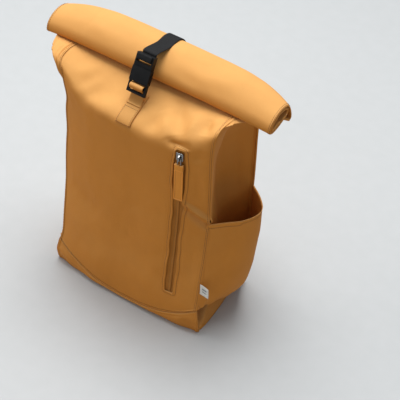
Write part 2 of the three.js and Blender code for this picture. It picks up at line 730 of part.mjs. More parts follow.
// The plug's two sprung prongs and its middle guide reach down into the socket, with a release on each side.
const plugBottom = socketTop + clearance;
const plugSlot = plugBottom + buckleBar + socketRoof;
function bucklePlug() {
  const rootTop = plugBottom + buckleRim / 2;
  const body = block(
    [buckleRim / 2 - halfBuckle, -shellHalf, plugBottom],
    [halfBuckle - buckleRim / 2, shellHalf, buckleLength]);
  const upright = (sign, from, to, low, high) => {
    const [near, far] = sign > 0 ? [from, to] : [-to, -from];
    return block([near, -prongHalf, low], [far, prongHalf, high]);
  };
  const prongOuter = halfBuckle - buckleRim - clearance;
  const side = (sign) => [
    upright(sign, prongOuter - prongWidth, prongOuter, releaseLow + clearance, rootTop),
    upright(sign, prongOuter - prongWidth / 2, halfBuckle + clearance,
      releaseLow + 2 * clearance, releaseLow + releaseLength - 2 * clearance),
  ];
  const guide = block([-prongWidth / 3, -prongHalf, releaseLow], [prongWidth / 3, prongHalf, rootTop]);
  return shaped(body, { join: [...side(1), ...side(-1), guide], cut: [slotThrough(plugSlot)] });
}
addPiece('buckle_plug', bucklePlug(), blackPlastic, buckle);

// A cloth loop from the tab through the socket's slots, round the crossbar.
buckle.updateMatrixWorld(true);
const inBuckle = (out, up) => vec(0, -out, up).applyMatrix4(buckle.matrixWorld);
const barMiddle = 1.5 * buckleBar + buckleSlot;
// Out is a share of the loop's level off the bar's middle, up of its reach above and below it.
const loopTurns = table('out up', [
  [-1.36, -1.38], [0, -1.13], [0.75, -1.1], [1.1, -0.32], [1.1, 0.32], [0.75, 1.1], [0, 1.13], [-1.36, 0.81],
]);
function buckleLoop() {
  const reach = buckleBar / 2 + clearance + tabThickness / 2;
  const level = barHalf + 2 * clearance + tabThickness / 2;
  const sewnLift = clearance * 2 + tabThickness * 1.5;
  const sewn = (row, lift) => roofPoint(strapAcross, shoulderRow + row, lift);
  const path = [
    sewn(buckleRow - 0.7, sewnLift),
    sewn(buckleRow - 0.45, sewnLift),
    ...loopTurns.map(({ out, up }) => inBuckle(out * level, barMiddle + up * reach)),
    sewn(buckleRow - 0.1, sewnLift + tabThickness),
    sewn(buckleRow + 0.15, sewnLift),
  ];
  path.forEach((point) => { point.x = strapAcross; });
  return bandAlong(path, flatSection(webbingWidth, tabThickness));
}
addPiece('buckle_loop', buckleLoop(), cloth);

// Roll strap: from the plug's slot over the roll and down to its seam on the back panel.
const backStation = cornerBackRight + backColumns / 2;
const backPoint = (row, lift) => {
  const below = rings[Math.max(row - 1, 0)][backStation];
  const above = rings[Math.min(row + 1, lastRow)][backStation];
  const normal = vec(0, above.z - below.z, -(above.y - below.y)).normalize();
  return rings[row][backStation].clone().addScaledVector(normal, lift);
};
function rollStrap() {
  const lift = 2.5 * clearance + webbingThickness / 2;
  const slotMiddle = plugSlot + buckleSlot / 2;
  const overRoll = [];
  for (let row = shoulderRow + 2; row <= neckRow + 4; row += 1) overRoll.push(backPoint(row, lift));
  const turn = shellHalf + 1.5 * clearance + webbingThickness / 2;
  const path = [
    ...overRoll,
    inBuckle(-turn - webbingThickness, buckleLength + buckleSlot),
    inBuckle(-turn, buckleLength - buckleRim),
    inBuckle(-turn, slotMiddle + webbingThickness),
    inBuckle(0, slotMiddle),
    inBuckle(turn, slotMiddle + webbingThickness),
    inBuckle(turn, buckleLength),
  ];
  path.forEach((point) => { point.x = strapAcross; });
  return bandAlong(path, flatSection(webbingWidth - clearance, webbingThickness));
}
addPiece('roll_strap', rollStrap(), blackWebbing);

// Label in the front right seam.
function sideLabel() {
  const heights = [labelMiddle - labelHeight / 2, labelMiddle + labelHeight / 2];
  const grid = (depth) => heights.map((height) => {
    const seam = frontPoint(halfWidth, height);
    return [seamGap, labelWidth].map((out) => vec(halfWidth + out, seam.y - depth, height));
  });
  return sheetSolid(grid(labelThickness), grid(0));
}
addPiece('side_label', sideLabel(), labelCloth);

// Shoulder straps: across as a share of the half width, up of the shoulder height, off of the standoff.
const strapRows = table('across up off', [
  [0.37, 1.0, 0.0], [0.373, 0.97, 0.08], [0.385, 0.93, 0.4], [0.41, 0.86, 0.76], [0.45, 0.76, 0.97],
  [0.49, 0.65, 1.0], [0.52, 0.55, 0.9], [0.54, 0.47, 0.72],
]);
const backFace = Math.max(...bodyRows.map((row) => row.backY)) * halfDepth;
const strapPlace = (across, up, off) => {
  const level = backFace + clearance + off * padStandoff;
  return vec(across * halfWidth, level + padThickness / 2, up * shoulderHeight);
};
function shoulderStrap(sign) {
  const path = strapRows.map((row) => strapPlace(sign * row.across, row.up, row.off));
  return bandAlong(path, paddedSection(padWidth, padThickness));
}

// The strap's lower hardware stands in line with its end.
const strapEnd = strapPlace(strapRows.at(-1).across, strapRows.at(-1).up, strapRows.at(-1).off);
const beforeEnd = strapPlace(strapRows.at(-2).across, strapRows.at(-2).up, strapRows.at(-2).off);
const strapSlope = Math.atan2(beforeEnd.y - strapEnd.y, beforeEnd.z - strapEnd.z);
const adjusterSlot = (adjusterLength - 4 * adjusterBar) / 3;
function adjusterShape() {
  const half = adjusterWidth / 2;
  const shape = new THREE.Shape();
  shape.moveTo(-half, 0);
  shape.lineTo(half, 0);
  shape.lineTo(half, -adjusterLength);
  shape.lineTo(-half, -adjusterLength);
  shape.closePath();
  for (let i = 0; i < 3; i += 1) {
    const top = -adjusterBar - i * (adjusterBar + adjusterSlot);
    const hole = new THREE.Path();
    hole.moveTo(-slotReach, top);
    hole.lineTo(-slotReach, top - adjusterSlot);
    hole.lineTo(slotReach, top - adjusterSlot);
    hole.lineTo(slotReach, top);
    hole.closePath();
    shape.holes.push(hole);
  }
  const geometry = new THREE.ExtrudeGeometry(shape, { depth: adjusterThickness, bevelEnabled: false });
  return geometry.translate(0, 0, -adjusterThickness / 2).rotateX(Math.PI / 2);
}

function strapHardware(sign, side) {
  const frame = new THREE.Group();
  frame.position.set(sign * strapEnd.x, strapEnd.y, strapEnd.z - clearance);
  frame.rotation.x = -strapSlope;
  backpack.add(frame);
  frame.updateMatrixWorld(true);
  addPiece(`strap_adjuster_${side}`, adjusterShape(), blackPlastic, frame);

  const bandLevel = adjusterThickness / 2 + clearance + webbingThickness / 2;
  const slotAt = (i) => -adjusterBar - i * (adjusterBar + adjusterSlot) - adjusterSlot / 2;
  const inFrame = (out, up) => vec(0, out, up).applyMatrix4(frame.matrixWorld);
  const anchor = (up, off) => vec(
    0, backFace + clearance + (off + 0.5) * webbingThickness, anchorHeight + up * webbingWidth);
  const held = [
    inFrame(bandLevel, slotAt(2) - webbingTail),
    inFrame(bandLevel, slotAt(2)),
    inFrame(bandLevel, slotAt(1) - webbingThickness),
    inFrame(0, slotAt(1)),
    inFrame(-bandLevel, slotAt(1) - webbingThickness),
    inFrame(-bandLevel, slotAt(2)),
    inFrame(-bandLevel - clearance, -adjusterLength - adjusterBar),
  ];
  const sewnEnd = [anchor(0.96, 2), anchor(0.56, 0), anchor(0, 0)];
  const path = [...held, ...sewnEnd];
  path.forEach((point, i) => {
    const share = Math.max(0, i - held.length + 1) / sewnEnd.length;
    point.x = sign * lerp(strapEnd.x, halfWidth * anchorAcross, share);
  });
  const section = flatSection(webbingWidth, webbingThickness);
  addPiece(`strap_webbing_${side}`, bandAlong(path, section), blackWebbing);

  const sewn = padThickness / 2 + clearance + webbingThickness / 2;
  const keeperHalf = [
    [sewn, keeperTail], [sewn, -0.2 * adjusterBar], [bandLevel, -0.9 * adjusterBar],
    [bandLevel, slotAt(0) + webbingThickness / 2],
  ];
  const keeper = [
    ...keeperHalf.map(([out, up]) => inFrame(out, up)),
    inFrame(0, slotAt(0)),
    ...keeperHalf.reverse().map(([out, up]) => inFrame(-out, up)),
  ];
  keeper.forEach((point) => { point.x = sign * strapEnd.x; });
  addPiece(`strap_keeper_${side}`, bandAlong(keeper, section), blackWebbing);
}
for (const [side, sign] of [['right', 1], ['left', -1]]) {
  addPiece(`shoulder_strap_${side}`, shoulderStrap(sign), hiddenCloth);
  strapHardware(sign, side);
}

// Haul loop: off as a share of its reach, up of the shoulder height.
const haulRows = table('off up', [
  [0.0, 0.97], [0.25, 0.97], [0.65, 0.972], [0.93, 0.955], [1.0, 0.925],
  [0.93, 0.895], [0.65, 0.88], [0.25, 0.885], [0.0, 0.885],
]);
function haulLoop() {
  const seat = rings[shoulderRow][backStation].y + clearance;
  const path = haulRows.map((row) => vec(0, seat + row.off * haulReach, row.up * shoulderHeight));
  return bandAlong(path, flatSection(webbingWidth, webbingThickness));
}
addPiece('haul_loop', haulLoop(), blackWebbing);

export default backpack;
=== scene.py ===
# Rolltop backpack in mustard canvas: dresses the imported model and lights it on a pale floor.
# Shapes are worked out in millimetres and go into the meshes in metres. X is the width, -Y the front.
import json
import math
import bmesh
import bpy
import numpy as np
from mathutils import Matrix, Vector, noise


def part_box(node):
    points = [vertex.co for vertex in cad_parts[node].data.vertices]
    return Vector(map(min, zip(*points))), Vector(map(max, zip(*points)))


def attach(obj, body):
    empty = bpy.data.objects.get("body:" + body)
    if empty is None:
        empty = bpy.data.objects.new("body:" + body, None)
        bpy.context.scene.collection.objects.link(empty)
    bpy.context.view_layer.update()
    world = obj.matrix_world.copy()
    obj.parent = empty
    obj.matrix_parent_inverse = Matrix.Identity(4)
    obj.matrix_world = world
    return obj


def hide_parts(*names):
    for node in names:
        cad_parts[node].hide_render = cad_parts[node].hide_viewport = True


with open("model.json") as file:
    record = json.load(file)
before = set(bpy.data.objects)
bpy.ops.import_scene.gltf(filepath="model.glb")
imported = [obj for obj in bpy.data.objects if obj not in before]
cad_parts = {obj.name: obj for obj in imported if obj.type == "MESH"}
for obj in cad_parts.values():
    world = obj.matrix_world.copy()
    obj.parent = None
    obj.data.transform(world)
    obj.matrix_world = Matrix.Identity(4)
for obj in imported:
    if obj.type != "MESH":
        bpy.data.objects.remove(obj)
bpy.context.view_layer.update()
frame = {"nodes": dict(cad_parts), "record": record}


def cadReach(node):
    low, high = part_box(node)
    return np.array(low) * 1000, np.array(high) * 1000


# the bag's main sizes, and the steps of its grids; the roll's width comes from the frame
bag = {
    "width": 280, "depth": 143, "shoulder": 350, "neck": 405, "wall": 1.2,
    "rollHalf": float(cadReach("side_panel_right")[1][0]), "layerHalf": 1.55,
    "seamMiddle": 9, "seamCorner": 50, "seamRear": 12,
    "frontSteps": 132, "sideSteps": 72, "backSteps": 56, "wallSteps": 18, "rowSteps": 9, "turnSteps": 4,
    "baseSteps": (8, 10), "sideGaps": 4, "leftHollow": 0.35,
}
roll = {"depth": 58, "thickness": 32, "swell": 20, "lift": 6, "setback": 62.5, "rest": 3.6, "spacing": 4.9,
        "tilt": math.radians(15.5), "turns": 1.75, "top": 0.62, "outside": 0.8, "inside": 1.0, "inset": 23,
        "stepsPerTurn": 12, "tighten": 1.3, "mitre": 0.6, "foldFrom": 0.965}
halfWidth = bag["width"] / 2
halfDepth = bag["depth"] / 2
foldReach = bag["rollHalf"] - halfWidth
roofRise = bag["neck"] - bag["shoulder"]


def table(names, rows):
    return [dict(zip(names.split(), row)) for row in rows]


# cross-sections of the bag, as shares of half its width and depth: the foot, the walls and the roof
baseRows = table("up frontY bulge frontX leftX quarterX midX rearX backX backY", [
    [0.0, -1.06, 0.06, 1.045, 1.05, 1.02, 0.99, 0.957, 0.993, 1.02],
    [0.45, -1.09, 0.12, 1.045, 1.03, 0.975, 0.95, 0.945, 1.0, 1.02],
    [1.0, -1.055, 0.17, 1.0, 0.985, 0.95, 0.935, 0.94, 1.0, 1.01],
])
bodyRows = table("up frontY bulge quarterX midX rearX backY leftX", [
    [0.2, -0.985, 0.22, 0.945, 0.9, 0.93, 1.01, 0.972],
    [0.31, -0.9, 0.25, 0.94, 0.875, 0.9, 1.0, 0.972],
    [0.45, -0.79, 0.3, 0.945, 0.862, 0.89, 1.0, 0.985],
    [0.62, -0.7, 0.35, 0.95, 0.857, 0.885, 1.0, 1.0],
    [0.76, -0.695, 0.33, 0.957, 0.857, 0.885, 0.99, 0.98],
    [0.89, -0.71, 0.31, 0.965, 0.86, 0.895, 0.98, 0.975],
    [1.0, -0.73, 0.32, 0.975, 0.87, 0.91, 0.98, 0.968],
])
neckRows = table("seamY seamUp bulge dip browOut browY browUp foldOut foldY foldUp "
                 "rearOut rearY rearUp backY backUp", [
    [-0.715, 0.36, 0.35, 0.19, -0.05, -0.3, 0.25, -0.22, 0.13, 0.18, -0.13, 0.56, 0.2, 0.98, 0.15],
    [-0.69, 0.66, 0.27, 0.42, -0.01, -0.34, 0.62, -0.13, 0.17, 0.4, -0.06, 0.57, 0.42, 0.975, 0.28],
    [-0.6, 0.82, 0.16, 0.48, 0.05, -0.28, 0.81, 0.07, 0.24, 0.62, 0.07, 0.63, 0.61, 0.965, 0.42],
    [-0.35, 0.9, 0.15, 0.38, 0.2, -0.12, 0.87, 0.38, 0.35, 0.79, 0.24, 0.71, 0.79, 0.94, 0.6],
    [0.0, 0.93, 0.1, 0.15, 0.42, 0.06, 0.92, 0.72, 0.48, 0.9, 0.44, 0.76, 0.9, 0.89, 0.78],
    [0.4, 0.95, 0.02, 0.04, 0.56, 0.46, 0.95, 0.92, 0.6, 0.95, 0.56, 0.76, 0.96, 0.84, 0.91],
])
# the left wing stands out further than the right one
leftBrow = table("seamOut out y up", [
    [0.02, 0.1, -0.58, 0.28], [0.1, 0.22, -0.6, 0.6], [0.18, 0.36, -0.56, 0.82],
    [0.22, 0.5, -0.42, 0.92], [0.18, 0.62, -0.1, 0.94], [0.08, 0.68, 0.42, 0.95],
])


def mix(a, b, share):
    return a + (b - a) * share


def bell(value, middle, width, power=2):
    return np.exp(-((value - middle) / width) ** power)


def smoothStep(value):
    value = np.clip(value, 0, 1)
    return value * value * (3 - 2 * value)


def unit(vectors):
    return vectors / np.maximum(np.linalg.norm(vectors, axis=-1, keepdims=True), 1e-9)


def lengthAlong(points, axis=0):
    # the distance walked from the first point, up the columns (0) or along the rows (1)
    steps = np.linalg.norm(np.diff(points, axis=axis), axis=-1)
    return np.concatenate([np.zeros_like(steps.take([0], axis)), np.cumsum(steps, axis)], axis)


def edgeShares(steps, edge):
    # shares from 0 to 1, closer together near both ends
    fine = np.array([0, 0.2, 0.45, 0.75, 1.1, 1.6, 2.3, 3.2, 4.4]) * edge
    return np.concatenate([fine, np.linspace(6 * edge, 1 - 6 * edge, steps), 1 - fine[::-1]])


shares = {"front": edgeShares(bag["frontSteps"], 1 / bag["width"]),
          "side": edgeShares(bag["sideSteps"], 1 / bag["depth"]),
          "back": edgeShares(bag["backSteps"], 1 / bag["width"])}


def curveThrough(points, at):
    # an even curve through control points, read at places counted in points
    points = np.asarray(points, float)
    run = np.concatenate([[2 * points[0] - points[1]], points, [2 * points[-1] - points[-2]]])
    i = np.clip(np.floor(at).astype(int), 0, len(points) - 2)
    t = (at - i).reshape((-1,) + (1,) * (points.ndim - 1))
    a, b, c, d = run[i], run[i + 1], run[i + 2], run[i + 3]
    return 0.5 * (2 * b + (c - a) * t + (2 * a - 5 * b + 4 * c - d) * t**2 + (3 * b - a - 3 * c + d) * t**3)


def rowsThrough(rows, steps):
    # smooth rows between control rows that lie unevenly apart, with so many steps after each row
    rows = np.asarray(rows, float)
    gap = np.linalg.norm(np.diff(rows, axis=0), axis=-1).mean(axis=1)
    slope = np.diff(rows, axis=0) / gap[:, None, None]
    lean = (gap[1:] / (gap[1:] + gap[:-1]))[:, None, None]
    tangent = np.concatenate([slope[:1], slope[:-1] * lean + slope[1:] * (1 - lean), slope[-1:]])
    result = []
    for i, count in enumerate(steps):
        for k in range(count):
            t = k / count
            h = gap[i]
            result.append((2 * t**3 - 3 * t**2 + 1) * rows[i] + (t**3 - 2 * t**2 + t) * h * tangent[i]
                          + (3 * t**2 - 2 * t**3) * rows[i + 1] + (t**3 - t**2) * h * tangent[i + 1])
    return np.array(result + [rows[-1]])


def ring(sideControls, bulge, dip, liftOf=None):
    # one row of each panel, from the controls of the right and the left side
    s = shares["side"]
    right, left = (curveThrough(sideControls[sign], s * bag["sideGaps"]) for sign in (1, -1))
    f = shares["front"][:, None]
    fullness = 1 - np.abs(2 * f - 1) ** 3
    front = mix(left[0], right[0], f) + fullness * np.array([0, -bulge, -dip])
    b = shares["back"][:, None]
    row = {"front": front, "right": right, "back": mix(right[-1], left[-1], b), "left": left[::-1]}
    if liftOf:
        for name, points in row.items():
            points[:, 2] = liftOf[name]
    return row


def wallRow(row, liftOf):
    backX = row.get("backX", 1) * halfWidth
    frontX = {1: row.get("frontX", 1) * halfWidth, -1: row["leftX"] * halfWidth}
    frontY, backY = row["frontY"] * halfDepth, row["backY"] * halfDepth

    def controls(sign):
        edge, hollow = frontX[sign], {1: 1, -1: bag["leftHollow"]}[sign]
        across = [edge] + [mix(at, row[name] * halfWidth, hollow) for name, at in
                           (("quarterX", edge), ("midX", (edge + backX) / 2), ("rearX", backX))] + [backX]
        return [(sign * x, mix(frontY, backY, i / bag["sideGaps"]), 0) for i, x in enumerate(across)]
    return ring({1: controls(1), -1: controls(-1)}, row["bulge"] * halfDepth, 0, liftOf)


def roofRow(row, flare):
    def at(out, y, up):
        return (halfWidth + out * foldReach, y * halfDepth, bag["shoulder"] + up * roofRise)

    def place(name, out=None):
        return at(row[name + "Out"] if out is None else out, row[name + "Y"], row[name + "Up"])
    rear = [place("fold"), place("rear"), place("back", 0)]
    right = [place("seam", 0), place("brow")] + rear
    left = [place("seam", flare["seamOut"]), at(flare["out"], flare["y"], flare["up"])] + rear
    left = [(-x, y, z) for x, y, z in left]
    return ring({1: right, -1: left}, row["bulge"] * halfDepth, row["dip"] * roofRise)


def rollPath(x):
    # the rolled tube's middle line at a place across, with its normals
    swell = 1 - abs(x / bag["rollHalf"]) ** 4
    halfAlong = (roll["depth"] + swell * roll["swell"]) / 2 - bag["layerHalf"]
    height = roll["thickness"] + swell * roll["lift"]
    cosTilt, sinTilt = math.cos(roll["tilt"]), math.sin(roll["tilt"])
    centreY = -halfDepth + roll["setback"] + bag["layerHalf"] + halfAlong * cosTilt
    centreZ = bag["neck"] + roll["rest"] + height * (1 - roll["top"])
    count = round(roll["turns"] * roll["stepsPerTurn"])
    step = np.arange(count + 1)
    angle = step / roll["stepsPerTurn"] * 2 * math.pi
    shrink = roll["spacing"] * step / roll["stepsPerTurn"]
    rising = np.sin(angle) > 0
    flat = mix(roll["outside"], roll["inside"], np.minimum(1, roll["tighten"] * step / count))
    reach = height * np.where(rising, roll["top"], 1 - roll["top"]) - bag["layerHalf"] - shrink
    along = (halfAlong - shrink) * np.cos(angle)
    across = reach * np.where(rising, np.sin(angle), -(np.abs(np.sin(angle)) ** flat))
    y = centreY + along * cosTilt - across * sinTilt
    z = centreZ + along * sinTilt + across * cosTilt
    line = np.stack([np.r_[halfDepth - roll["inset"] + swell * roll["swell"] / 2, y], np.r_[bag["neck"], z]], 1)
    d = np.diff(line, axis=0)
    segment = unit(np.stack([d[:, 1], -d[:, 0]], 1))
    before, after = np.concatenate([segment[:1], segment]), np.concatenate([segment, segment[-1:]])
    normal = unit(before + after)
    return line, normal / np.maximum(roll["mitre"], (normal * after).sum(1))[:, None]


def tubeRows():
    # the rolled rows: each column lies inside, outside or on the fold of the flattened tube
    s, foldFrom = shares["side"], roll["foldFrom"]
    way = np.interp(np.minimum(s, 1 - s) * 8, [0, 1, 2, 3, 4], [0, 0.35, 0.7, foldFrom, 1])
    layer = np.sqrt(np.clip(1 - (np.clip(way - foldFrom, 0, 1) / (1 - foldFrom)) ** 2, 0, 1))
    sideX, sideLayer = halfWidth + way * foldReach, np.where(s < 0.5, -layer, layer)
    frontX = mix(-halfWidth, halfWidth, shares["front"])
    backX = mix(halfWidth, -halfWidth, shares["back"])
    places = {"front": (frontX, -np.ones_like(frontX)), "right": (sideX, sideLayer),
              "back": (backX, np.ones_like(backX)), "left": (-sideX[::-1], sideLayer[::-1])}
    result = {}
    for name, (xs, layers) in places.items():
        columns = []
        for x, outward in zip(xs, layers):
            line, normal = rollPath(x)
            at = line + normal * outward * bag["layerHalf"]
            columns.append(np.concatenate([np.full((len(at), 1), x), at], 1))
        result[name] = np.stack(columns, 1)
    return result


def seamLift(share):
    f = mix(bag["seamMiddle"], bag["seamCorner"], np.abs(2 * shares["front"] - 1) ** 2.2)
    s = mix(bag["seamCorner"], bag["seamRear"], shares["side"])
    rear = np.full(len(shares["back"]), bag["seamRear"])
    return {"front": share * f, "right": share * s, "back": share * rear, "left": share * s[::-1]}


def level(height):
    return {name: np.full(len(shares[key]), float(height)) for name, key in
            (("front", "front"), ("right", "side"), ("back", "back"), ("left", "side"))}


print("bag: lofting the panels")
panelNames = ["front", "right", "back", "left"]
upper = [wallRow(baseRows[-1], seamLift(1))]
upper += [wallRow(row, level(row["up"] * bag["shoulder"])) for row in bodyRows]
upper += [roofRow(row, flare) for row, flare in zip(neckRows, leftBrow)]
tube = tubeRows()
tubeCount = len(tube["front"])
rowSteps = [bag["wallSteps"]] * len(bodyRows) + [bag["rowSteps"]] * (len(upper) - len(bodyRows))
rowSteps += [bag["turnSteps"]] * (tubeCount - 1)
skin = {name: rowsThrough(np.concatenate([[row[name] for row in upper], tube[name]]), rowSteps)
        for name in panelNames}
baseControls = [wallRow(row, seamLift(row["up"])) for row in baseRows]
baseSkin = {name: rowsThrough([row[name] for row in baseControls], bag["baseSteps"]) for name in panelNames}
rowOf = {"shoulder": sum(rowSteps[:len(bodyRows)]), "neck": sum(rowSteps[:len(upper)])}


def normalsOf(grid, sign=1):
    return unit(np.cross(np.gradient(grid, axis=1), np.gradient(grid, axis=0))) * sign


# folds run between two points of the cloth: depth out of the face, negative for a valley
folds = table("x1 y1 z1 x2 y2 z2 width depth", [
    [98, -67, 257, 148, -46, 219, 4, 7.0], [98, -68, 247, 148, -48, 207, 6, -6.0],
    [104, -64, 258, 134, -50, 242, 8, -2.0], [74, -71, 360, 106, -66, 366, 6, -4.2],
    [68, -70, 366, 84, -67, 354, 7, -3.2], [91, -14, 392, 100, -63, 368, 10, 4.2],
    [51, -10, 392, 77, -54, 373, 11, -3.8], [39, -34, 380, 66, -64, 366, 12, 3.2],
    [117, -47, 385, 114, -22, 393, 9, -3.2], [120, -37, 391, 128, -15, 398, 6, 2.6],
    [20, -76, 352, 46, -40, 380, 12, -3.0], [-20, -24, 397, 110, -14, 401, 9, -3.5],
    [-60, -80, 350, -30, -60, 374, 16, 2.4], [-96, -72, 356, -60, -44, 388, 14, -3.2],
    [-130, -52, 392, -90, -20, 396, 12, 3.4], [-110, -66, 374, -84, -30, 394, 10, -2.6],
    [-138, -64, 366, -114, -68, 326, 9, 2.8], [-140, -56, 300, -128, -64, 220, 7, -2.4],
    [-132, -66, 300, -122, -72, 210, 6, 1.6], [-112, -72, 180, -60, -84, 150, 30, -2.2],
    [20, -84, 200, 70, -78, 150, 34, 1.8], [-90, -88, 60, -30, -92, 36, 26, 2.0],
    [60, -88, 90, 110, -82, 60, 22, -1.6], [124, -52, 330, 132, -50, 262, 6, 2.4],
    [117, -58, 326, 123, -56, 262, 7, -2.6], [112, -62, 340, 126, -52, 356, 8, -2.2],
    [76, -76, 240, 78, -78, 160, 9, 1.6], [106, -70, 210, 104, -76, 120, 9, 1.6],
    [126, -66, 200, 124, -74, 90, 9, -1.6], [118, -20, 340, 122, 10, 250, 10, -2.0],
    [124, 20, 350, 122, 34, 240, 12, 1.8], [120, 44, 330, 126, 52, 180, 10, -1.6],
    [-130, -10, 330, -132, 20, 220, 14, -1.8], [138, -20, 34, 135, 10, 16, 7, 4.0],
    [136, 8, 8, 135, 38, 14, 8, -2.5], [120, -86, 26, 138, -82, 12, 7, -2.4],
    [96, -88, 14, 132, -84, 34, 7, 2.0], [-136, -80, 30, -110, -88, 14, 8, 2.4],
    [-142, -76, 40, -146, -60, 14, 7, -2.6], [-90, -88, 10, -40, -88, 5, 8, 1.6],
    [60, 0, 434, 140, 20, 446, 14, 1.8], [30, -2, 430, 84, -4, 424, 8, -1.6],
    [-60, 0, 432, -150, 16, 442, 14, 1.6], [-100, 20, 450, -190, 30, 440, 10, -1.6],
    [20, 20, 452, 110, 40, 448, 16, -1.6],
])
slack = table("lift size seed", [[1.3, 46, 3.1], [0.4, 15, 7.7]])
creases = {"drop": 1.5, "dropWidth": 2.6, "ridge": 1.0, "ridgeAt": 3.2, "ridgeWidth": 1.5,
           "groove": 0.95, "grooveAt": 5.6, "grooveWidth": 1.0, "overrun": 0.15, "taper": 0.7, "hem": 0.6,
           "hemEase": 8, "rollSlack": 0.35, "rollEase": 12}


def foldHeight(points):
    flat, over = points.reshape(-1, 3), creases["overrun"]
    total = np.zeros(len(flat))
    for fold in folds:
        start, end = (np.array([fold[axis + at] for axis in "xyz"], float) for at in "12")
        run = end - start
        t = np.clip((flat - start) @ run / (run @ run), -over, 1 + over)
        distance = np.linalg.norm(flat - (start + t[:, None] * run), axis=1)
        taper = np.clip(1 + over - np.abs(2 * t - 1), 0, 1) ** creases["taper"]
        total += fold["depth"] * bell(distance, 0, fold["width"]) * taper
    return total.reshape(points.shape[:-1])


def clothNoise(points, size, seed):
    stretch = np.array([1.0, 0.8, 0.6]) / size
    flat = (points.reshape(-1, 3) * stretch + seed).tolist()
    return np.array([noise.noise(Vector(p)) for p in flat]).reshape(points.shape[:-1])


def edgeTurn(distance):
    # the height of a turned-in and topstitched edge, so far from the edge
    drop = np.clip(1 - distance / creases["dropWidth"], 0, 1)
    ridge = creases["ridge"] * bell(distance, creases["ridgeAt"], creases["ridgeWidth"])
    groove = creases["groove"] * bell(distance, creases["grooveAt"], creases["grooveWidth"])
    return ridge - groove - creases["drop"] * (1 - np.sqrt(np.clip(1 - drop**2, 0, 1)))


def creased(grid, rolled=None):
    # gives a panel its folds, its slack and its turned-in edges, calmer from the first rolled row on
    calm, seamed = np.ones(grid.shape[:2]), np.ones(len(grid))
    if rolled is not None:
        calm[rolled:] = creases["rollSlack"]
    lift = foldHeight(grid)
    for wave in slack:
        lift += calm * wave["lift"] * clothNoise(grid, wave["size"], wave["seed"])
    fromLeft, fromFoot = lengthAlong(grid, 1), lengthAlong(grid, 0)
    edge = np.minimum(fromLeft, fromLeft[:, -1:] - fromLeft)
    hem = fromFoot if rolled is not None else fromFoot[-1:] - fromFoot
    if rolled is not None:
        seamed = np.clip((rolled + 4 - np.arange(len(grid))) / 8, 0, 1)
        lift[rolled:] *= np.clip(edge[rolled:] / creases["rollEase"], 0, 1)
    lift += edgeTurn(edge) * seamed[:, None]
    lift += creases["hem"] * edgeTurn(hem) * np.clip(edge / creases["hemEase"], 0, 1)
    return grid + normalsOf(grid) * lift[..., None]


bend = {"above": 4, "reach": 34, "blur": 36, "spread": 15, "seam": 30}
hollow = {"depth": 13, "height": 285, "reach": 68, "start": 0.22}
droop = {"from": 96, "over": 115, "before": 20, "rows": 22, "inward": 6.0, "forward": 2.0, "down": 6.0,
         "settle": 4.0, "nose": 5.0, "noseBack": 30, "noseOver": 40}
tuck = {"depth": 27, "low": 7, "start": 8, "rise": 0.913, "margin": 2, "edge": 6, "ease": 4, "under": 0.3}
corner = {"draw": 4, "reach": 22, "height": 30}


def softShoulder(grid, at):
    # rounds the bend between front and roof, most in the middle and not at all in the seams
    rows, columns = grid.shape[:2]
    away = np.arange(-bend["blur"], bend["blur"] + 1)
    weight = bell(away, 0, bend["spread"])
    weight /= weight.sum()
    blurred = sum(w * grid[np.clip(np.arange(rows) + k, 0, rows - 1)] for k, w in zip(away, weight))
    fromSeam = np.minimum(np.arange(columns), columns - 1 - np.arange(columns))
    near = bell(np.arange(rows), at, bend["reach"], 4)[:, None, None]
    return mix(grid, blurred, near * np.clip(fromSeam / bend["seam"], 0, 1)[None, :, None])


def hollowed(grid):
    # the right side falls in between its seams, above the pocket and under the brow
    along = np.linspace(0, 1, grid.shape[1])[None]
    deep = np.sin(math.pi * np.clip(along, 0, 1)) ** 0.8 * np.clip(along / hollow["start"], 0, 1)
    result = grid.copy()
    result[..., 0] -= hollow["depth"] * deep * bell(grid[..., 2], hollow["height"], hollow["reach"], 4)
    return result


def drooped(grid, rolled):
    # the roll settles on the roof, and its ends hang down and draw in a little
    ease = smoothStep((np.arange(len(grid)) - rolled + droop["before"]) / droop["rows"])[:, None]
    end = np.clip((np.abs(grid[..., 0]) - droop["from"]) / droop["over"], 0, 1) ** 2 * ease
    nose = np.clip((droop["noseBack"] - grid[..., 1]) / droop["noseOver"], 0, 1.2)
    result = grid.copy()
    result[..., 0] -= np.sign(grid[..., 0]) * droop["inward"] * end
    result[..., 1] -= droop["forward"] * end
    result[..., 2] -= droop["down"] * end + (droop["settle"] + droop["nose"] * nose * (1 - end)) * ease
    return result


def tucked(grid):
    # the foot's side is folded in like a gusset, beside the front corner and under the pocket
    away, height = grid[..., 1] - grid[..., :1, 1], grid[..., 2]
    level = math.sqrt(1 - tuck["rise"] ** 2)
    inside = (height - tuck["low"]) * tuck["rise"] - (away - tuck["start"]) * level
    beside = np.minimum(inside, away - tuck["margin"]) / tuck["edge"]
    under = mix(tuck["under"], 1, smoothStep((grid[-1:, :, 2] - height) / tuck["ease"]))
    result = grid.copy()
    result[..., 0] -= tuck["depth"] * smoothStep(beside) * under
    return result


def cornered(grid):
    # the foot's corners are drawn in and rounded
    fromSide = np.abs(grid[..., 0]) - halfWidth
    fromFront = np.abs(grid[..., 1] + corner["draw"]) - halfDepth - corner["draw"]
    near = bell(np.hypot(fromSide, fromFront), 0, corner["reach"])
    near = near * np.clip(1 - grid[..., 2] / corner["height"], 0, 1)
    result = grid.copy()
    result[..., :2] -= np.sign(grid[..., :2]) * corner["draw"] * near[..., None]
    return result


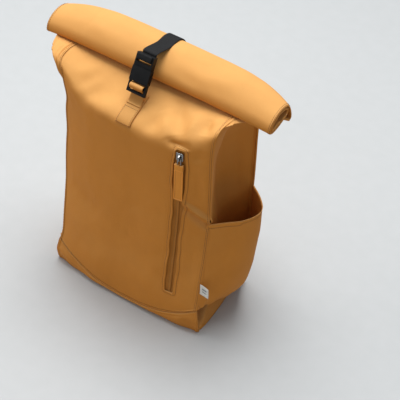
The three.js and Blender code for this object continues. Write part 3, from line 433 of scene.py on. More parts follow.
skin = {name: drooped(grid, rowOf["neck"]) for name, grid in skin.items()}
skin["right"] = hollowed(skin["right"])
skin["front"] = softShoulder(skin["front"], rowOf["shoulder"] + bend["above"])
skin = {name: creased(grid, rowOf["neck"]) for name, grid in skin.items()}
baseSkin["right"] = tucked(baseSkin["right"])
baseSkin = {name: creased(cornered(grid)) for name, grid in baseSkin.items()}
for grid in baseSkin.values():
    grid[..., 2] = np.maximum(grid[..., 2], 0)


def placed(name, data):
    obj = bpy.data.objects.new(name, data)
    bpy.context.scene.collection.objects.link(obj)
    return obj


def meshPiece(name, verts, faces):
    # a smooth mesh object in metres from points in millimetres
    mesh = bpy.data.meshes.new(name)
    mesh.from_pydata((np.asarray(verts) * 0.001).tolist(), [], [list(map(int, f)) for f in faces])
    mesh.polygons.foreach_set("use_smooth", [True] * len(mesh.polygons))
    mesh.update()
    return placed(name, mesh)


def fixNormals(obj):
    work = bmesh.new()
    work.from_mesh(obj.data)
    bmesh.ops.recalc_face_normals(work, faces=list(work.faces))
    work.to_mesh(obj.data)
    work.free()
    return obj


def quadsOf(index):
    corners = [index[:-1, :-1], index[:-1, 1:], index[1:, 1:], index[1:, :-1]]
    return np.stack(corners, -1).reshape(-1, 4)


def sheetPiece(name, grid, wall):
    # a closed cloth wall: the face grid, the same grid one wall inside, and the rim between them
    inner = grid - normalsOf(grid) * wall
    inner[..., 2] = np.maximum(inner[..., 2], 0)
    count = grid.shape[0] * grid.shape[1]
    index = np.arange(count).reshape(grid.shape[:2])
    rim = np.concatenate([index[0, :-1], index[:-1, -1], index[-1, :0:-1], index[:0:-1, 0]])
    after = np.roll(rim, -1)
    sides = np.stack([after, rim, rim + count, after + count], 1)
    faces = np.concatenate([quadsOf(index), quadsOf(index + count)[:, ::-1], sides])
    return meshPiece(name, np.concatenate([grid.reshape(-1, 3), inner.reshape(-1, 3)]), faces)


def loftedPiece(name, loops, closed=False):
    # a piece through loops of points, its ends joined to each other or closed with caps
    index = np.arange(loops.shape[0] * loops.shape[1]).reshape(loops.shape[:2])
    around = np.concatenate([index, index[:, :1]], 1)
    faces = quadsOf(np.concatenate([around, around[:1]]) if closed else around).tolist()
    if not closed:
        faces += [index[0, ::-1].tolist(), index[-1].tolist()]
    return fixNormals(meshPiece(name, loops.reshape(-1, 3), faces))


def setWeave(obj, places):
    # the piece's own cloth coordinates, one per vertex, in metres along the weave
    layer = obj.data.uv_layers.new(name="weave")
    vertexOf = np.zeros(len(obj.data.loops), int)
    obj.data.loops.foreach_get("vertex_index", vertexOf)
    layer.data.foreach_set("uv", (places * 0.001)[vertexOf].ravel())


def boxUv(obj):
    # cloth coordinates for a small piece, laid on from the side that each face looks to
    mesh = obj.data
    layer = mesh.uv_layers.get("weave") or mesh.uv_layers.new(name="weave")
    for face in mesh.polygons:
        drop = max(range(3), key=lambda k: abs(face.normal[k]))
        keep = [k for k in range(3) if k != drop]
        for loop in face.loop_indices:
            co = mesh.vertices[mesh.loops[loop].vertex_index].co
            layer.data[loop].uv = (co[keep[0]], co[keep[1]])


def onGrid(grid, row, column):
    # places on a panel, read off its finished grid
    row = np.clip(np.asarray(row, float), 0, grid.shape[0] - 1.001)
    column = np.clip(np.asarray(column, float), 0, grid.shape[1] - 1.001)
    i, j = row.astype(int), column.astype(int)
    a, b = (row - i)[..., None], (column - j)[..., None]
    return mix(mix(grid[i, j], grid[i, j + 1], b), mix(grid[i + 1, j], grid[i + 1, j + 1], b), a)


def gridLine(grid, rows, columns, reach=1.2):
    # points on a grid and their outward normals
    rows, columns = np.asarray(rows), np.asarray(columns)
    side = onGrid(grid, rows, columns + reach) - onGrid(grid, rows, columns - reach)
    up = onGrid(grid, rows + reach, columns) - onGrid(grid, rows - reach, columns)
    return onGrid(grid, rows, columns), unit(np.cross(side, up))


search = {"row": 60.0, "rounds": 12, "leastUp": 0.3, "leastSide": 0.1, "normalReach": 1.5}


def frontSpot(across, height):
    # the front's point and outward normal at a distance across and a height
    grid = skin["front"][:rowOf["neck"]]
    across, height = np.broadcast_arrays(np.asarray(across, float), np.asarray(height, float))
    row, column = np.full(across.shape, search["row"]), np.full(across.shape, grid.shape[1] / 2)
    for _ in range(search["rounds"]):
        here = onGrid(grid, row, column)
        up = onGrid(grid, row + 1, column) - here
        side = onGrid(grid, row, column + 1) - here
        row = row + (height - here[..., 2]) / np.maximum(up[..., 2], search["leastUp"])
        column = column + (across - here[..., 0]) / np.maximum(side[..., 0], search["leastSide"])
        row, column = np.clip(row, 0, len(grid) - 3), np.clip(column, 0, grid.shape[1] - 3)
    return gridLine(grid, row, column, search["normalReach"])


def shadeSmooth(obj, angle=40):
    mesh = obj.data
    mesh.polygons.foreach_set("use_smooth", [True] * len(mesh.polygons))
    mesh.set_sharp_from_angle(angle=math.radians(angle))
    return obj


def finished(obj):
    # bakes an object's modifiers into a plain mesh
    graph = bpy.context.evaluated_depsgraph_get()
    mesh = bpy.data.meshes.new_from_object(obj.evaluated_get(graph), depsgraph=graph)
    obj.modifiers.clear()
    obj.data = mesh
    return obj


def roundedCopy(name, node, radius, steps=3, angle=30):
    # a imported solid's own shape with moulded edges
    work = bmesh.new()
    work.from_mesh(frame["nodes"][node].data)
    bmesh.ops.remove_doubles(work, verts=list(work.verts), dist=1e-5)
    bmesh.ops.dissolve_limit(work, angle_limit=math.radians(2), verts=list(work.verts), edges=list(work.edges))
    mesh = bpy.data.meshes.new(name)
    work.to_mesh(mesh)
    work.free()
    obj = placed(name, mesh)
    bevel = obj.modifiers.new("edges", "BEVEL")
    bevel.width, bevel.segments = radius * 0.001, steps
    bevel.limit_method, bevel.angle_limit = "ANGLE", math.radians(angle)
    finished(obj)
    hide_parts(node)
    return shadeSmooth(obj)


def tubeAlong(name, points, radius, closed=False, sides=8, flat=1.0):
    # a round or flattened tube along a run of points
    points = np.asarray(points, float)
    after = np.roll(points, -1, 0) if closed else np.concatenate([points[1:], points[-1:] * 2 - points[-2:-1]])
    before = np.roll(points, 1, 0) if closed else np.concatenate([points[:1] * 2 - points[1:2], points[:-1]])
    run = unit(after - before)
    side = unit(np.cross(run, np.where(np.abs(run[:, 1:2]) < 0.9, [[0, 1, 0]], [[1, 0, 0]])))
    out = unit(np.cross(side, run))
    angle = np.linspace(0, 2 * math.pi, sides + 1)[:-1, None]
    loops = points[:, None] + radius * (np.cos(angle) * side[:, None] + flat * np.sin(angle) * out[:, None])
    return loftedPiece(name, loops, closed)


def bandNormal(path):
    # outward normals of a band that lies across X
    run = unit(np.gradient(path, axis=0))
    return unit(np.stack([np.zeros(len(run)), -run[:, 2], run[:, 1]], 1))


def bandPiece(name, path, width, thickness, steps=6, across=8):
    # woven webbing: a flat band with rounded edges along a smooth path, its width along X
    path = curveThrough(path, np.linspace(0, len(path) - 1, (len(path) - 1) * steps + 1))
    normal, edge = bandNormal(path), thickness / 2
    angle = np.linspace(-math.pi / 2, math.pi / 2, 5)
    half = [(width / 2 - edge + edge * math.cos(a), edge * math.sin(a)) for a in angle]
    half += [(x, edge) for x in np.linspace(width / 2 - edge, edge - width / 2, across)[1:-1]]
    section = half + [(-x, -z) for x, z in half]
    loops = np.stack([path + np.array([x, 0, 0]) + normal * z for x, z in section], 1)
    piece = loftedPiece(name, loops)
    aside, along = np.tile([x for x, z in section], len(path)), np.repeat(lengthAlong(path), len(section))
    setWeave(piece, np.stack([aside, along], 1))
    return piece


# shader maths as plain expressions
class Socket:
    def __init__(self, tree, output):
        self.tree, self.output = tree, output

    def maths(self, operation, *values):
        return self.tree.node("ShaderNodeMath", {"operation": operation}, *values)

    def __add__(self, other): return self.maths("ADD", self, other)
    def __sub__(self, other): return self.maths("SUBTRACT", self, other)
    def __mul__(self, other): return self.maths("MULTIPLY", self, other)
    def size(self): return self.maths("ABSOLUTE", self)
    def over(self, limit): return self.maths("GREATER_THAN", self, limit)
    def under(self, limit): return self.maths("LESS_THAN", self, limit)
    def clamped(self): return self.maths("MINIMUM", self.maths("MAXIMUM", self, 0.0), 1.0)
    def wave(self, pitch): return self.maths("SINE", self * (2 * math.pi / pitch))


class Shader:
    # one material's node tree; node() makes any node from its settings and its inputs
    def __init__(self, name):
        self.material = bpy.data.materials.new(name)
        self.material.use_nodes = True
        self.tree = self.material.node_tree
        self.surface = self.tree.nodes["Principled BSDF"]

    def node(self, kind, settings, *values, out=0, **named):
        made = self.tree.nodes.new(kind)
        for key, value in settings.items():
            setattr(made, key, value)
        for key, value in [*enumerate(values), *named.items()]:
            self.put(made.inputs[key], value)
        return Socket(self, made.outputs[out])

    def put(self, target, value):
        if isinstance(value, Socket):
            self.tree.links.new(value.output, target)
        elif value is not None:
            target.default_value = value

    def ramp(self, value, stops):
        made = self.tree.nodes.new("ShaderNodeValToRGB")
        band = made.color_ramp
        for k, (place, colour) in enumerate(stops):
            stop = band.elements[k] if k < 2 else band.elements.new(place)
            stop.position, stop.color = place, (*colour, 1)
        self.put(made.inputs[0], value)
        return Socket(self, made.outputs[0])

    def blendColour(self, share, first, second, kind="MIX"):
        colours = [c if isinstance(c, Socket) else (*c, 1) for c in (first, second)]
        made = self.tree.nodes.new("ShaderNodeMix")
        made.data_type, made.blend_type = "RGBA", kind
        self.put(made.inputs[0], share)
        self.put(made.inputs[6], colours[0])
        self.put(made.inputs[7], colours[1])
        return Socket(self, made.outputs[2])

    def noise(self, scale, detail=3.0, roughness=0.5):
        return self.node("ShaderNodeTexNoise", {}, Vector=self.place(), Scale=scale, Detail=detail,
                         Roughness=roughness)

    def axes(self, coordinates):
        made = self.tree.nodes.new("ShaderNodeSeparateXYZ")
        self.put(made.inputs[0], coordinates)
        return [Socket(self, output) for output in made.outputs]

    def place(self, kind="Object"):
        return Socket(self, self.tree.nodes.new("ShaderNodeTexCoord").outputs[kind])

    def clothPlace(self):
        return self.node("ShaderNodeUVMap", {"uv_map": "weave"})

    def bump(self, height, strength, distance):
        return self.node("ShaderNodeBump", {}, Height=height, Strength=strength, Distance=distance)

    def finish(self, **values):
        for key, value in values.items():
            self.put(self.surface.inputs[key.replace("_", " ")], value)
        return self.material


# painted light: the canvas's "top" colour is a painted lit tone for faces that look up, its "side" colour a
# painted shaded tone for upright faces
canvas = {"top": (0.645, 0.325, 0.098), "side": (0.6, 0.222, 0.029), "pitch": 0.0009,
          "low": (0.86, 0.84, 0.8), "high": (1.05, 1.05, 1.05), "sheen": 0.05, "sheenTint": (1.0, 0.8, 0.5, 1)}
ribs = {"pitch": 0.0017, "lean": 0.0031, "leanDepth": 0.0007, "yarn": 0.0011}
labelBars = table("middle half", [[0.013, 0.0016], [0.0075, 0.0009]])
labelInk = {"left": 0.004, "right": 0.013, "colour": (0.2, 0.2, 0.2), "yarn": 0.0006,
            "low": (0.66, 0.63, 0.56), "high": (0.8, 0.77, 0.7)}


def shaded(colour, factor):
    return tuple(c * factor for c in colour)


def canvasMaterial(name, tint=1.0, tread=1.0):
    # plain-woven canvas: crossing yarns with slubs, a mottled dye, and painted light: paler where it faces up,
    # darker on upright faces
    shader = Shader(name)
    u, v, _ = shader.axes(shader.clothPlace())
    pitch = canvas["pitch"] * tread
    weave = (u.wave(pitch) * v.wave(pitch)) * 0.5 + 0.5
    slub, mottle, cloud = shader.noise(900.0, 2.0), shader.noise(26.0, 4.0, 0.6), shader.noise(7.0, 2.0)
    upward = shader.axes(shader.place("Normal"))[2]
    # painted light: the base colour runs from the painted shaded tone on upright faces to the painted lit tone
    # on faces that look up
    paintedLight = shader.blendColour((upward * 1.15 - 0.05).clamped(), shaded(canvas["side"], tint),
                               shaded(canvas["top"], tint))
    share = (mottle * 0.5 + cloud * 0.35 + weave * 0.12 + slub * 0.2 - 0.12).clamped()
    dye = shader.ramp(share, [(0.15, canvas["low"]), (0.85, canvas["high"])])
    colour = shader.blendColour(1.0, paintedLight, dye, "MULTIPLY")
    return shader.finish(Base_Color=colour, Roughness=mottle * 0.12 + 0.78,
                         Sheen_Weight=canvas["sheen"], Sheen_Roughness=0.5, Sheen_Tint=canvas["sheenTint"],
                         Specular_IOR_Level=0.25,
                         Normal=shader.bump(weave * 0.6 + slub * 0.5 + mottle * 0.6, 0.35, 0.0004))


def threadMaterial(name, colour):
    shader = Shader(name)
    twist = shader.noise(1400.0, 1.0)
    shade = shader.ramp(twist, [(0.3, shaded(colour, 0.75)), (0.7, colour)])
    return shader.finish(Base_Color=shade, Roughness=0.6, Normal=shader.bump(twist, 0.3, 0.0002))


def webbingMaterial(name, colour):
    # ribbed webbing: rows of yarn that lean to and fro across the band
    shader = Shader(name)
    u, v, _ = shader.axes(shader.clothPlace())
    lean = u.wave(ribs["lean"]).size()
    rib = (v + lean * ribs["leanDepth"]).wave(ribs["pitch"]) * 0.5 + 0.5
    yarn = u.wave(ribs["yarn"]) * 0.5 + 0.5
    fuzz = shader.noise(700.0, 2.0)
    share = (rib * 0.5 + yarn * 0.2 + fuzz * 0.4 - 0.05).clamped()
    shade = shader.ramp(share, [(0.1, shaded(colour, 0.5)), (0.9, shaded(colour, 1.9))])
    return shader.finish(Base_Color=shade, Roughness=fuzz * 0.2 + 0.6, Specular_IOR_Level=0.25,
                         Normal=shader.bump(rib * 0.7 + yarn * 0.3 + fuzz * 0.3, 0.6, 0.0005))


def plasticMaterial(name, colour, rough=0.5):
    # moulded acetal with a spark-eroded grain and a blotchy, slightly lighter tone
    shader = Shader(name)
    grain, smear = shader.noise(2200.0, 2.0), shader.noise(90.0)
    shade = shader.ramp(smear, [(0.3, colour), (0.75, shaded(colour, 1.8))])
    return shader.finish(Base_Color=shade, Roughness=smear * 0.18 + grain * 0.08 + rough - 0.12,
                         Specular_IOR_Level=0.22, Normal=shader.bump(grain, 0.18, 0.0001))


def metalMaterial(name, colour):
    # nickel-plated zinc with fine polishing marks
    shader = Shader(name)
    marks, tarnish = shader.noise(1500.0), shader.noise(160.0)
    shade = shader.ramp(tarnish, [(0.35, shaded(colour, 0.7)), (0.7, colour)])
    return shader.finish(Base_Color=shade, Metallic=1.0, Roughness=tarnish * 0.2 + marks * 0.1 + 0.1,
                         Normal=shader.bump(marks, 0.1, 0.0001))


def labelMaterial(name):
    # woven label, off-white, with two plain grey bars
    shader = Shader(name)
    u, v, _ = shader.axes(shader.clothPlace())
    yarn = v.wave(labelInk["yarn"]) * 0.5 + 0.5
    fuzz = shader.noise(900.0, 2.0)
    thick, thin = ((v - bar["middle"]).size().under(bar["half"]) for bar in labelBars)
    bars = ((thick + thin) * u.over(labelInk["left"]) * u.under(labelInk["right"])).clamped()
    ground = shader.ramp(fuzz, [(0.3, labelInk["low"]), (0.7, labelInk["high"])])
    return shader.finish(Base_Color=shader.blendColour(bars, ground, labelInk["colour"]), Roughness=0.8,
                         Normal=shader.bump(yarn * 0.6 + fuzz * 0.5, 0.4, 0.0003))


print("materials")
cloth = canvasMaterial("mustard canvas")
hemCloth = canvasMaterial("mustard canvas, hems", 0.93)
tapeCloth = canvasMaterial("zip tape weave", 0.78, 0.7)
strapCloth = canvasMaterial("mustard canvas, straps", 0.97)
# the seam thread is much darker than the cloth: partly its own colour, partly painted shade standing in for the
# dark lines along the seams
thread = threadMaterial("stitching thread", (0.16, 0.058, 0.011))
paleThread = threadMaterial("tab stitching thread", (0.5, 0.25, 0.07))
webbing = webbingMaterial("black webbing", (0.004, 0.004, 0.0045))
plastic = plasticMaterial("black buckle plastic", (0.003, 0.003, 0.0032))
nickel = metalMaterial("nickel plate", (0.27, 0.265, 0.26))
labelFinish = labelMaterial("woven label")


def dress(obj, material, body="bag", replaced=()):
    obj.data.materials.clear()
    obj.data.materials.append(material)
    if replaced:
        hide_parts(*replaced)
    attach(obj, body)
    return obj


def clothPiece(name, grid, wall, material, node):
    # a dressed cloth wall, its weave laid along both faces
    piece = sheetPiece(name, grid, wall)
    flat = np.stack([lengthAlong(grid, 1).ravel(), lengthAlong(grid, 0).ravel()], 1)
    setWeave(piece, np.concatenate([flat, flat]))
    return dress(piece, material, replaced=[node])


# stitches: Geometry Nodes lay small thread loops along runs of points
def stitchTree():
    tree = bpy.data.node_groups.new("stitchLine", "GeometryNodeTree")
    kinds = {"Geometry": "Geometry", "Pitch": "Float", "Length": "Float", "Thickness": "Float",
             "Thread": "Material"}
    for name, kind in kinds.items():
        tree.interface.new_socket(name, in_out="INPUT", socket_type="NodeSocket" + kind)
    tree.interface.new_socket("Geometry", in_out="OUTPUT", socket_type="NodeSocketGeometry")

    def add(kind, inputs, **settings):
        made = tree.nodes.new(kind)
        for key, value in settings.items():
            setattr(made, key, value)
        for key, value in inputs.items():
            if isinstance(value, bpy.types.NodeSocket):
                tree.links.new(value, made.inputs[key])
            else:
                made.inputs[key].default_value = value
        return made.outputs

    start = add("NodeGroupInput", {})
    wide, long = start["Thickness"], start["Length"]
    curve = add("GeometryNodeMeshToCurve", {0: start["Geometry"]})[0]
    spaced = add("GeometryNodeResampleCurve", {"Curve": curve, "Length": start["Pitch"]}, mode="LENGTH")[0]
    bead = add("GeometryNodeMeshUVSphere", {"Segments": 6, "Rings": 5, "Radius": 0.5})[0]
    tangent = add("GeometryNodeInputTangent", {})[0]
    turn = add("FunctionNodeAlignRotationToVector", {"Vector": tangent}, axis="Z")[0]
    size = add("ShaderNodeCombineXYZ", {0: wide, 1: wide, 2: long})[0]
    beads = add("GeometryNodeInstanceOnPoints", {"Points": spaced, "Instance": bead, "Rotation": turn,
                                                 "Scale": size})[0]
    real = add("GeometryNodeRealizeInstances", {0: beads})[0]
    smooth = add("GeometryNodeSetShadeSmooth", {0: real})[0]
    painted = add("GeometryNodeSetMaterial", {0: smooth, "Material": start["Thread"]})[0]
    add("NodeGroupOutput", {0: painted})
    return tree


stitching = {"pitch": 3.3, "length": 2.7, "thickness": 0.75}
stitchNodes = stitchTree()


def stitched(name, lines, material=None, body="bag", lift=0.12, slot="canvas", **changes):
    # lines are (points, normals) pairs in millimetres; the thread lies sunk into the cloth by half
    verts, edges = [], []
    for points, normals in lines:
        points = np.asarray(points) + np.asarray(normals) * lift
        edges += [(len(verts) + i, len(verts) + i + 1) for i in range(len(points) - 1)]
        verts += (points * 0.001).tolist()
    mesh = bpy.data.meshes.new(name)
    mesh.from_pydata(verts, edges, [])
    obj = placed(name, mesh)
    modifier = obj.modifiers.new("stitches", "NODES")
    modifier.node_group = stitchNodes
    values = {key.title(): size * 0.001 for key, size in {**stitching, **changes}.items()}
    values["Thread"] = material or thread
    for item in stitchNodes.interface.items_tree:
        if item.in_out == "INPUT" and item.name in values:
            modifier[item.identifier] = values[item.name]
    return dress(finished(obj), material or thread, body)


def columnAt(grid, row, distance, fromEnd=False):
    # the column that lies so far along a row from its edge
    line = grid[int(row)][::-1] if fromEnd else grid[int(row)]
    column = np.interp(distance, lengthAlong(line), np.arange(len(line)))
    return len(line) - 1 - column if fromEnd else column


print("seam stitches")
# the hems are rows of stitches so far across the roll
seam = {"rows": (3.0, 5.6), "rear": 3.4, "foot": 1.6, "ends": 4, "hems": (204.6, 202.2), "hemStart": 6,
        "hemTurns": 13}
rowsUp = np.arange(rowOf["neck"] - seam["ends"])
seamLines = []
for distance in seam["rows"]:
    for fromEnd in (False, True):
        columns = [columnAt(skin["front"], r, distance, fromEnd) for r in rowsUp]
        seamLines.append(gridLine(skin["front"], rowsUp, columns))
acrossFront = np.arange(seam["ends"], skin["front"].shape[1] - seam["ends"] - 1)
seamLines.append(gridLine(skin["front"], np.full(len(acrossFront), seam["foot"]), acrossFront))
for name in ("right", "left"):
    columns = [columnAt(skin[name], r, seam["rear"], name == "right") for r in rowsUp[2:]]
    seamLines.append(gridLine(skin[name], rowsUp[2:], columns))
stitched("panelStitches", seamLines)

hemLines = []
rows = np.arange(rowOf["neck"] + seam["hemStart"], rowOf["neck"] + seam["hemTurns"] * bag["turnSteps"])
for name in ("right", "left"):
    grid = skin[name]
    half = grid.shape[1] // 2
    part = slice(half + 4, None) if name == "right" else slice(0, half - 3)
    at = np.arange(grid.shape[1])[part]
    for x in seam["hems"]:
        columns = []
        for r in rows:
            xs = np.abs(grid[r, part, 0])
            order = np.argsort(xs)
            columns.append(np.interp(x, xs[order], at[order]))
        hemLines.append(gridLine(grid, rows, columns))
stitched("rollHemStitches", hemLines)

# zip: window, lips, tapes, coil, slider and pull
zipper = {"low": 68, "length": 286, "acrossLow": 90, "acrossHigh": 93, "half": 8.5, "corner": 4.0,
          "lip": 1.25, "tapeDepth": 2.3, "tapeWall": 0.9, "end": 12, "cut": 6, "stitchesOut": 3.4,
          "lipDepth": 0.5, "steps": 110, "cornerSteps": 7, "cornerGrowth": 0.6}
tape = {"past": 2, "steps": 150, "ripple": 0.25, "pitch": 9, "groove": 0.3, "grooveAt": 3.4, "grooveWidth": 0.6}
tapeColumns = [0.15, 1.2, 2.6, 3.3, 4.2, 6.0, 8.0, 9.8, 11.5]
lipProfile = table("out at width", [[1.5, 1.6, 2.0], [-0.9, 4.2, 1.6]])
coil = {"half": 1.5, "flat": 0.75, "start": 3, "steps": 120, "depth": 1.5, "apart": 1.35, "lift": 0.35}
tooth = {"pitch": 1.5, "length": 1.15, "thickness": 2.0}
lipPulls = table("height reach out", [[292, 36, 2.6], [205, 30, -1.2]])
lipRipples = table("pitch out phase", [[17, 0.8, 1], [6.5, 0.45, 2]])


def zipLine(height):
    return mix(zipper["acrossLow"], zipper["acrossHigh"], (height - zipper["low"]) / zipper["length"])


def zipWave(height, sign):
    # the lips wander: they gape beside the pull and pinch below it
    gape = sum(pull["out"] * bell(height, pull["height"], pull["reach"]) for pull in lipPulls)
    return sign * gape + sum(wave["out"] * np.sin(height / wave["pitch"] + wave["phase"] * sign)
                             for wave in lipRipples)


def windowOutline(grow):
    top, bottom = zipper["low"] + zipper["length"] + grow, zipper["low"] - grow
    half, corner = zipper["half"] + grow, zipper["corner"] + grow * zipper["cornerGrowth"]
    heights = np.linspace(bottom + corner, top - corner, zipper["steps"])
    arc = np.linspace(0, math.pi / 2, zipper["cornerSteps"])[1:-1]
    right = np.stack([np.full(len(heights), half), heights], 1)
    topRight = np.stack([half - corner + corner * np.cos(arc), top - corner + corner * np.sin(arc)], 1)
    bottomRight = np.stack([half - corner + corner * np.sin(arc), bottom + corner - corner * np.cos(arc)], 1)
    rightSide = np.concatenate([bottomRight, right, topRight])
    flat = np.concatenate([rightSide, rightSide[::-1] * [-1, 1]])
    wave = np.where(flat[:, 0] > 0, zipWave(flat[:, 1], 1), zipWave(flat[:, 1], -1))
    inside = np.clip((np.minimum(top - flat[:, 1], flat[:, 1] - bottom) - corner) / zipper["end"], 0, 1)
    return zipLine(flat[:, 1]) + flat[:, 0] + wave * inside, flat[:, 1]


def raiseWindow(grid):
    # puffs the turned-in edge round the window and presses the row of stitches in
    upTo = rowOf["neck"]
    x, z = grid[:upTo, :, 0], grid[:upTo, :, 2]
    wave = np.where(x > zipLine(z), zipWave(z, 1), -zipWave(z, -1))
    aside = np.abs(x - zipLine(z)) - zipper["half"] - wave
    beyond = np.maximum(z - zipper["low"] - zipper["length"], zipper["low"] - z)
    away = np.maximum(aside, beyond)
    lift = sum(part["out"] * bell(away, part["at"], part["width"]) for part in lipProfile)
    result = grid.copy()
    result[:upTo] += normalsOf(grid)[:upTo] * lift[..., None]
    return result


print("bag: making the panels")
skin["front"] = raiseWindow(skin["front"])
panels = {name: clothPiece(piece, skin[name], bag["wall"], cloth, node) for name, piece, node in (
    ("front", "frontPanelCloth", "front_panel"), ("right", "rightPanel", "side_panel_right"),
    ("back", "backPanel", "back_panel"), ("left", "leftPanel", "side_panel_left"))}
baseRing = np.concatenate([baseSkin[name][:, :-1] for name in panelNames], axis=1)
baseRing = np.concatenate([baseRing, baseRing[:, :1]], axis=1)
baseFloor = np.concatenate([baseRing[:1] * [inward, inward, 0.0] for inward in (0.0, 0.5, 0.9)])
clothPiece("basePanel", np.concatenate([baseFloor, baseRing]), bag["wall"], cloth, "base_panel")

print("zip")
edge, edgeOut = frontSpot(*windowOutline(0))
count = len(edge)
cutVerts = np.concatenate([edge + edgeOut * zipper["cut"], edge - edgeOut * zipper["cut"]])
cutFaces = [[i, (i + 1) % count, (i + 1) % count + count, i + count] for i in range(count)]
for k in range(count // 2 - 1):
    cutFaces.append([k, count - 1 - k, count - 2 - k, k + 1])
    cutFaces.append([k + count, k + 1 + count, 2 * count - 2 - k, 2 * count - 1 - k])
cutter = fixNormals(meshPiece("windowCutter", cutVerts, cutFaces))
cut = panels["front"].modifiers.new("window", "BOOLEAN")
cut.operation, cut.object, cut.solver = "DIFFERENCE", cutter, "EXACT"
finished(panels["front"])
bpy.data.objects.remove(cutter)
lips = tubeAlong("zipLips", edge - edgeOut * zipper["lipDepth"], zipper["lip"], closed=True, sides=10)
dress(lips, hemCloth)
around = frontSpot(*windowOutline(zipper["stitchesOut"]))
stitched("windowStitches", [[np.concatenate([side, side[:1]]) for side in around]], lift=0.1)

zipHigh = zipper["low"] + zipper["length"]
stripZ = np.linspace(zipper["low"] - tape["past"], zipHigh + tape["past"], tape["steps"])
for name, sign in (("zip_tape_left", -1), ("zip_tape_right", 1)):
    reach = np.sort(np.array(tapeColumns) * sign)
    spot, out = frontSpot(zipLine(stripZ)[:, None] + reach[None], stripZ[:, None])
    ripple = tape["ripple"] * np.sin(stripZ / tape["pitch"] + sign)[:, None]
    groove = tape["groove"] * bell(np.abs(reach), tape["grooveAt"], tape["grooveWidth"])[None]
    grid = spot + out * (ripple - groove - zipper["tapeDepth"])[..., None]
    clothPiece(name.replace("_", "") + "Cloth", grid, zipper["tapeWall"], tapeCloth, name)

coilZ = np.linspace(zipper["low"] + coil["start"], zipHigh - zipper["end"], coil["steps"])
spine, spineOut = frontSpot(zipLine(coilZ), coilZ)
spine = spine - spineOut * coil["depth"]
core = tubeAlong("zipCore", spine, coil["half"], sides=12, flat=coil["flat"])
dress(core, tapeCloth, replaced=["zip_chain"])
sideways = unit(np.cross(spineOut, np.gradient(spine, axis=0)))
stitched("zipCoil", [(spine + sideways * offset, spineOut) for offset in (-coil["apart"], coil["apart"])],
         tapeCloth, slot="zip_tape", lift=coil["lift"], **tooth)
dress(roundedCopy("zipSlider", "zip_slider", 0.45), nickel)
link = dress(roundedCopy("pullLink", "zip_pull_link", 0.55), nickel, "zip_pull")
tab = roundedCopy("pullTab", "zip_pull_tab", 0.8)
boxUv(tab)
# painted light: the pull tab's canvas is 1.28 times brighter, standing in for the light the tab catches
dress(tab, canvasMaterial("pull tab canvas, painted light", 1.28), "zip_pull")

# the pull hangs in its own frame: across, out of the bag and up to the hinge
hinge = frame["record"]["behaviour"]["joints"][0]
hingePoint = np.array(hinge["pos_m"]) * 1000
pullAcross = unit(-np.array(hinge["axis"]))
tabVerts = np.array([v.co for v in frame["nodes"]["zip_pull_tab"].data.vertices]) * 1000
hang = tabVerts.mean(0) - hingePoint
pullUp = -unit(hang - pullAcross * (hang @ pullAcross))
pullOut = np.cross(pullAcross, pullUp)
pullOut = pullOut * (1 if pullOut[1] < 0 else -1)
tabSpan = (tabVerts - hingePoint) @ pullUp
pullSeam = {"half": 6.5, "inset": 1.7, "below": 11.5, "out": 1.1, "rimOut": 0.9, "rim": 1.0}
tabTop, tabLow, tabHalf = tabSpan.max(), tabSpan.min(), pullSeam["half"]


def onPull(places, out):
    # points at (across, up) pairs on the pull, so far out of the bag
    return hingePoint + places[:, :1] * pullAcross + places[:, 1:] * pullUp + out * pullOut


# the cloth tab hangs a little lower and longer than its plain solid
stretch = {"tab": 1.08, "down": 3.5, "linkFrom": 4.0, "link": 1.32, "wide": 1.07}


def stretchPull(obj, pivot, factor, shift, wide):
    for vertex in obj.data.vertices:
        place = np.array(vertex.co) * 1000
        along, aside = (place - hingePoint) @ pullUp, (place - hingePoint) @ pullAcross
        if along < pivot:
            place = place + pullUp * ((along - pivot) * (factor - 1) - shift) + pullAcross * aside * (wide - 1)
            vertex.co = place * 0.001


stretchPull(link, -stretch["linkFrom"], stretch["link"], 0, 1)
stretchPull(tab, tabTop + 1, stretch["tab"], stretch["down"], stretch["wide"])
tabLow = tabTop - stretch["down"] + (tabLow - tabTop) * stretch["tab"]
tabTop -= stretch["down"]
tabHalf *= stretch["wide"]
left, right = pullSeam["inset"] - tabHalf, tabHalf - pullSeam["inset"]
high, low = tabTop - pullSeam["below"], tabLow + pullSeam["inset"]
corners = [(left, high), (right, high), (right, low), (left, low), (left, high)]
edges = list(zip(corners[:-1], corners[1:]))
border = onPull(np.concatenate([np.linspace(a, b, 24) for a, b in edges]), pullSeam["out"])
stitched("pullStitches", [(border, np.tile(pullOut, (len(border), 1)))], paleThread, "zip_pull",
         pitch=2.6, length=2.0, thickness=0.6)
rimPlaces = np.concatenate([np.linspace(a, b, 16)[:-1] for a, b in edges]) * [1 + pullSeam["rim"] / right, 1]
rim = tubeAlong("pullRim", onPull(rimPlaces, pullSeam["rimOut"]), pullSeam["rim"], closed=True)
# painted highlight: the rolled rim round the pull tab is 1.5 times brighter than the canvas
dress(rim, canvasMaterial("pull tab edge, painted highlight", 1.5), "zip_pull")


# side pockets, one filled out and one flat
pockets = {"right": {"bulge": 46, "sign": 1}, "left": {"bulge": 15, "sign": -1}}
pocket = {"top": 217, "ease": 0.5, "aboveSeam": 2, "hem": 7.0, "rows": 90, "columns": 96,
          "gathers": 46, "gatherOut": 1.1, "gatherAt": 0.12, "gatherReach": 0.16}
pocketHem = table("out at width", [[0.6, 0, 2.2], [-0.5, pocket["hem"], 1.5]])
pocketSlack = table("lift size seed", [[0.9, 34, 5.5], [0.3, 12, 1.2]])
pocketColumns = table("along out", [
    [0.015, 0], [0.1, 0.2], [0.2, 0.44], [0.31, 0.74], [0.45, 0.94],
    [0.58, 1], [0.71, 0.87], [0.86, 0.46], [0.985, 0],
])
pocketRows = table("up out", [
    [0.03, 0.0], [0.0, 0.2], [0.08, 0.5], [0.18, 0.69], [0.38, 0.86], [0.6, 0.94], [0.8, 0.99], [1.0, 1.0],
])


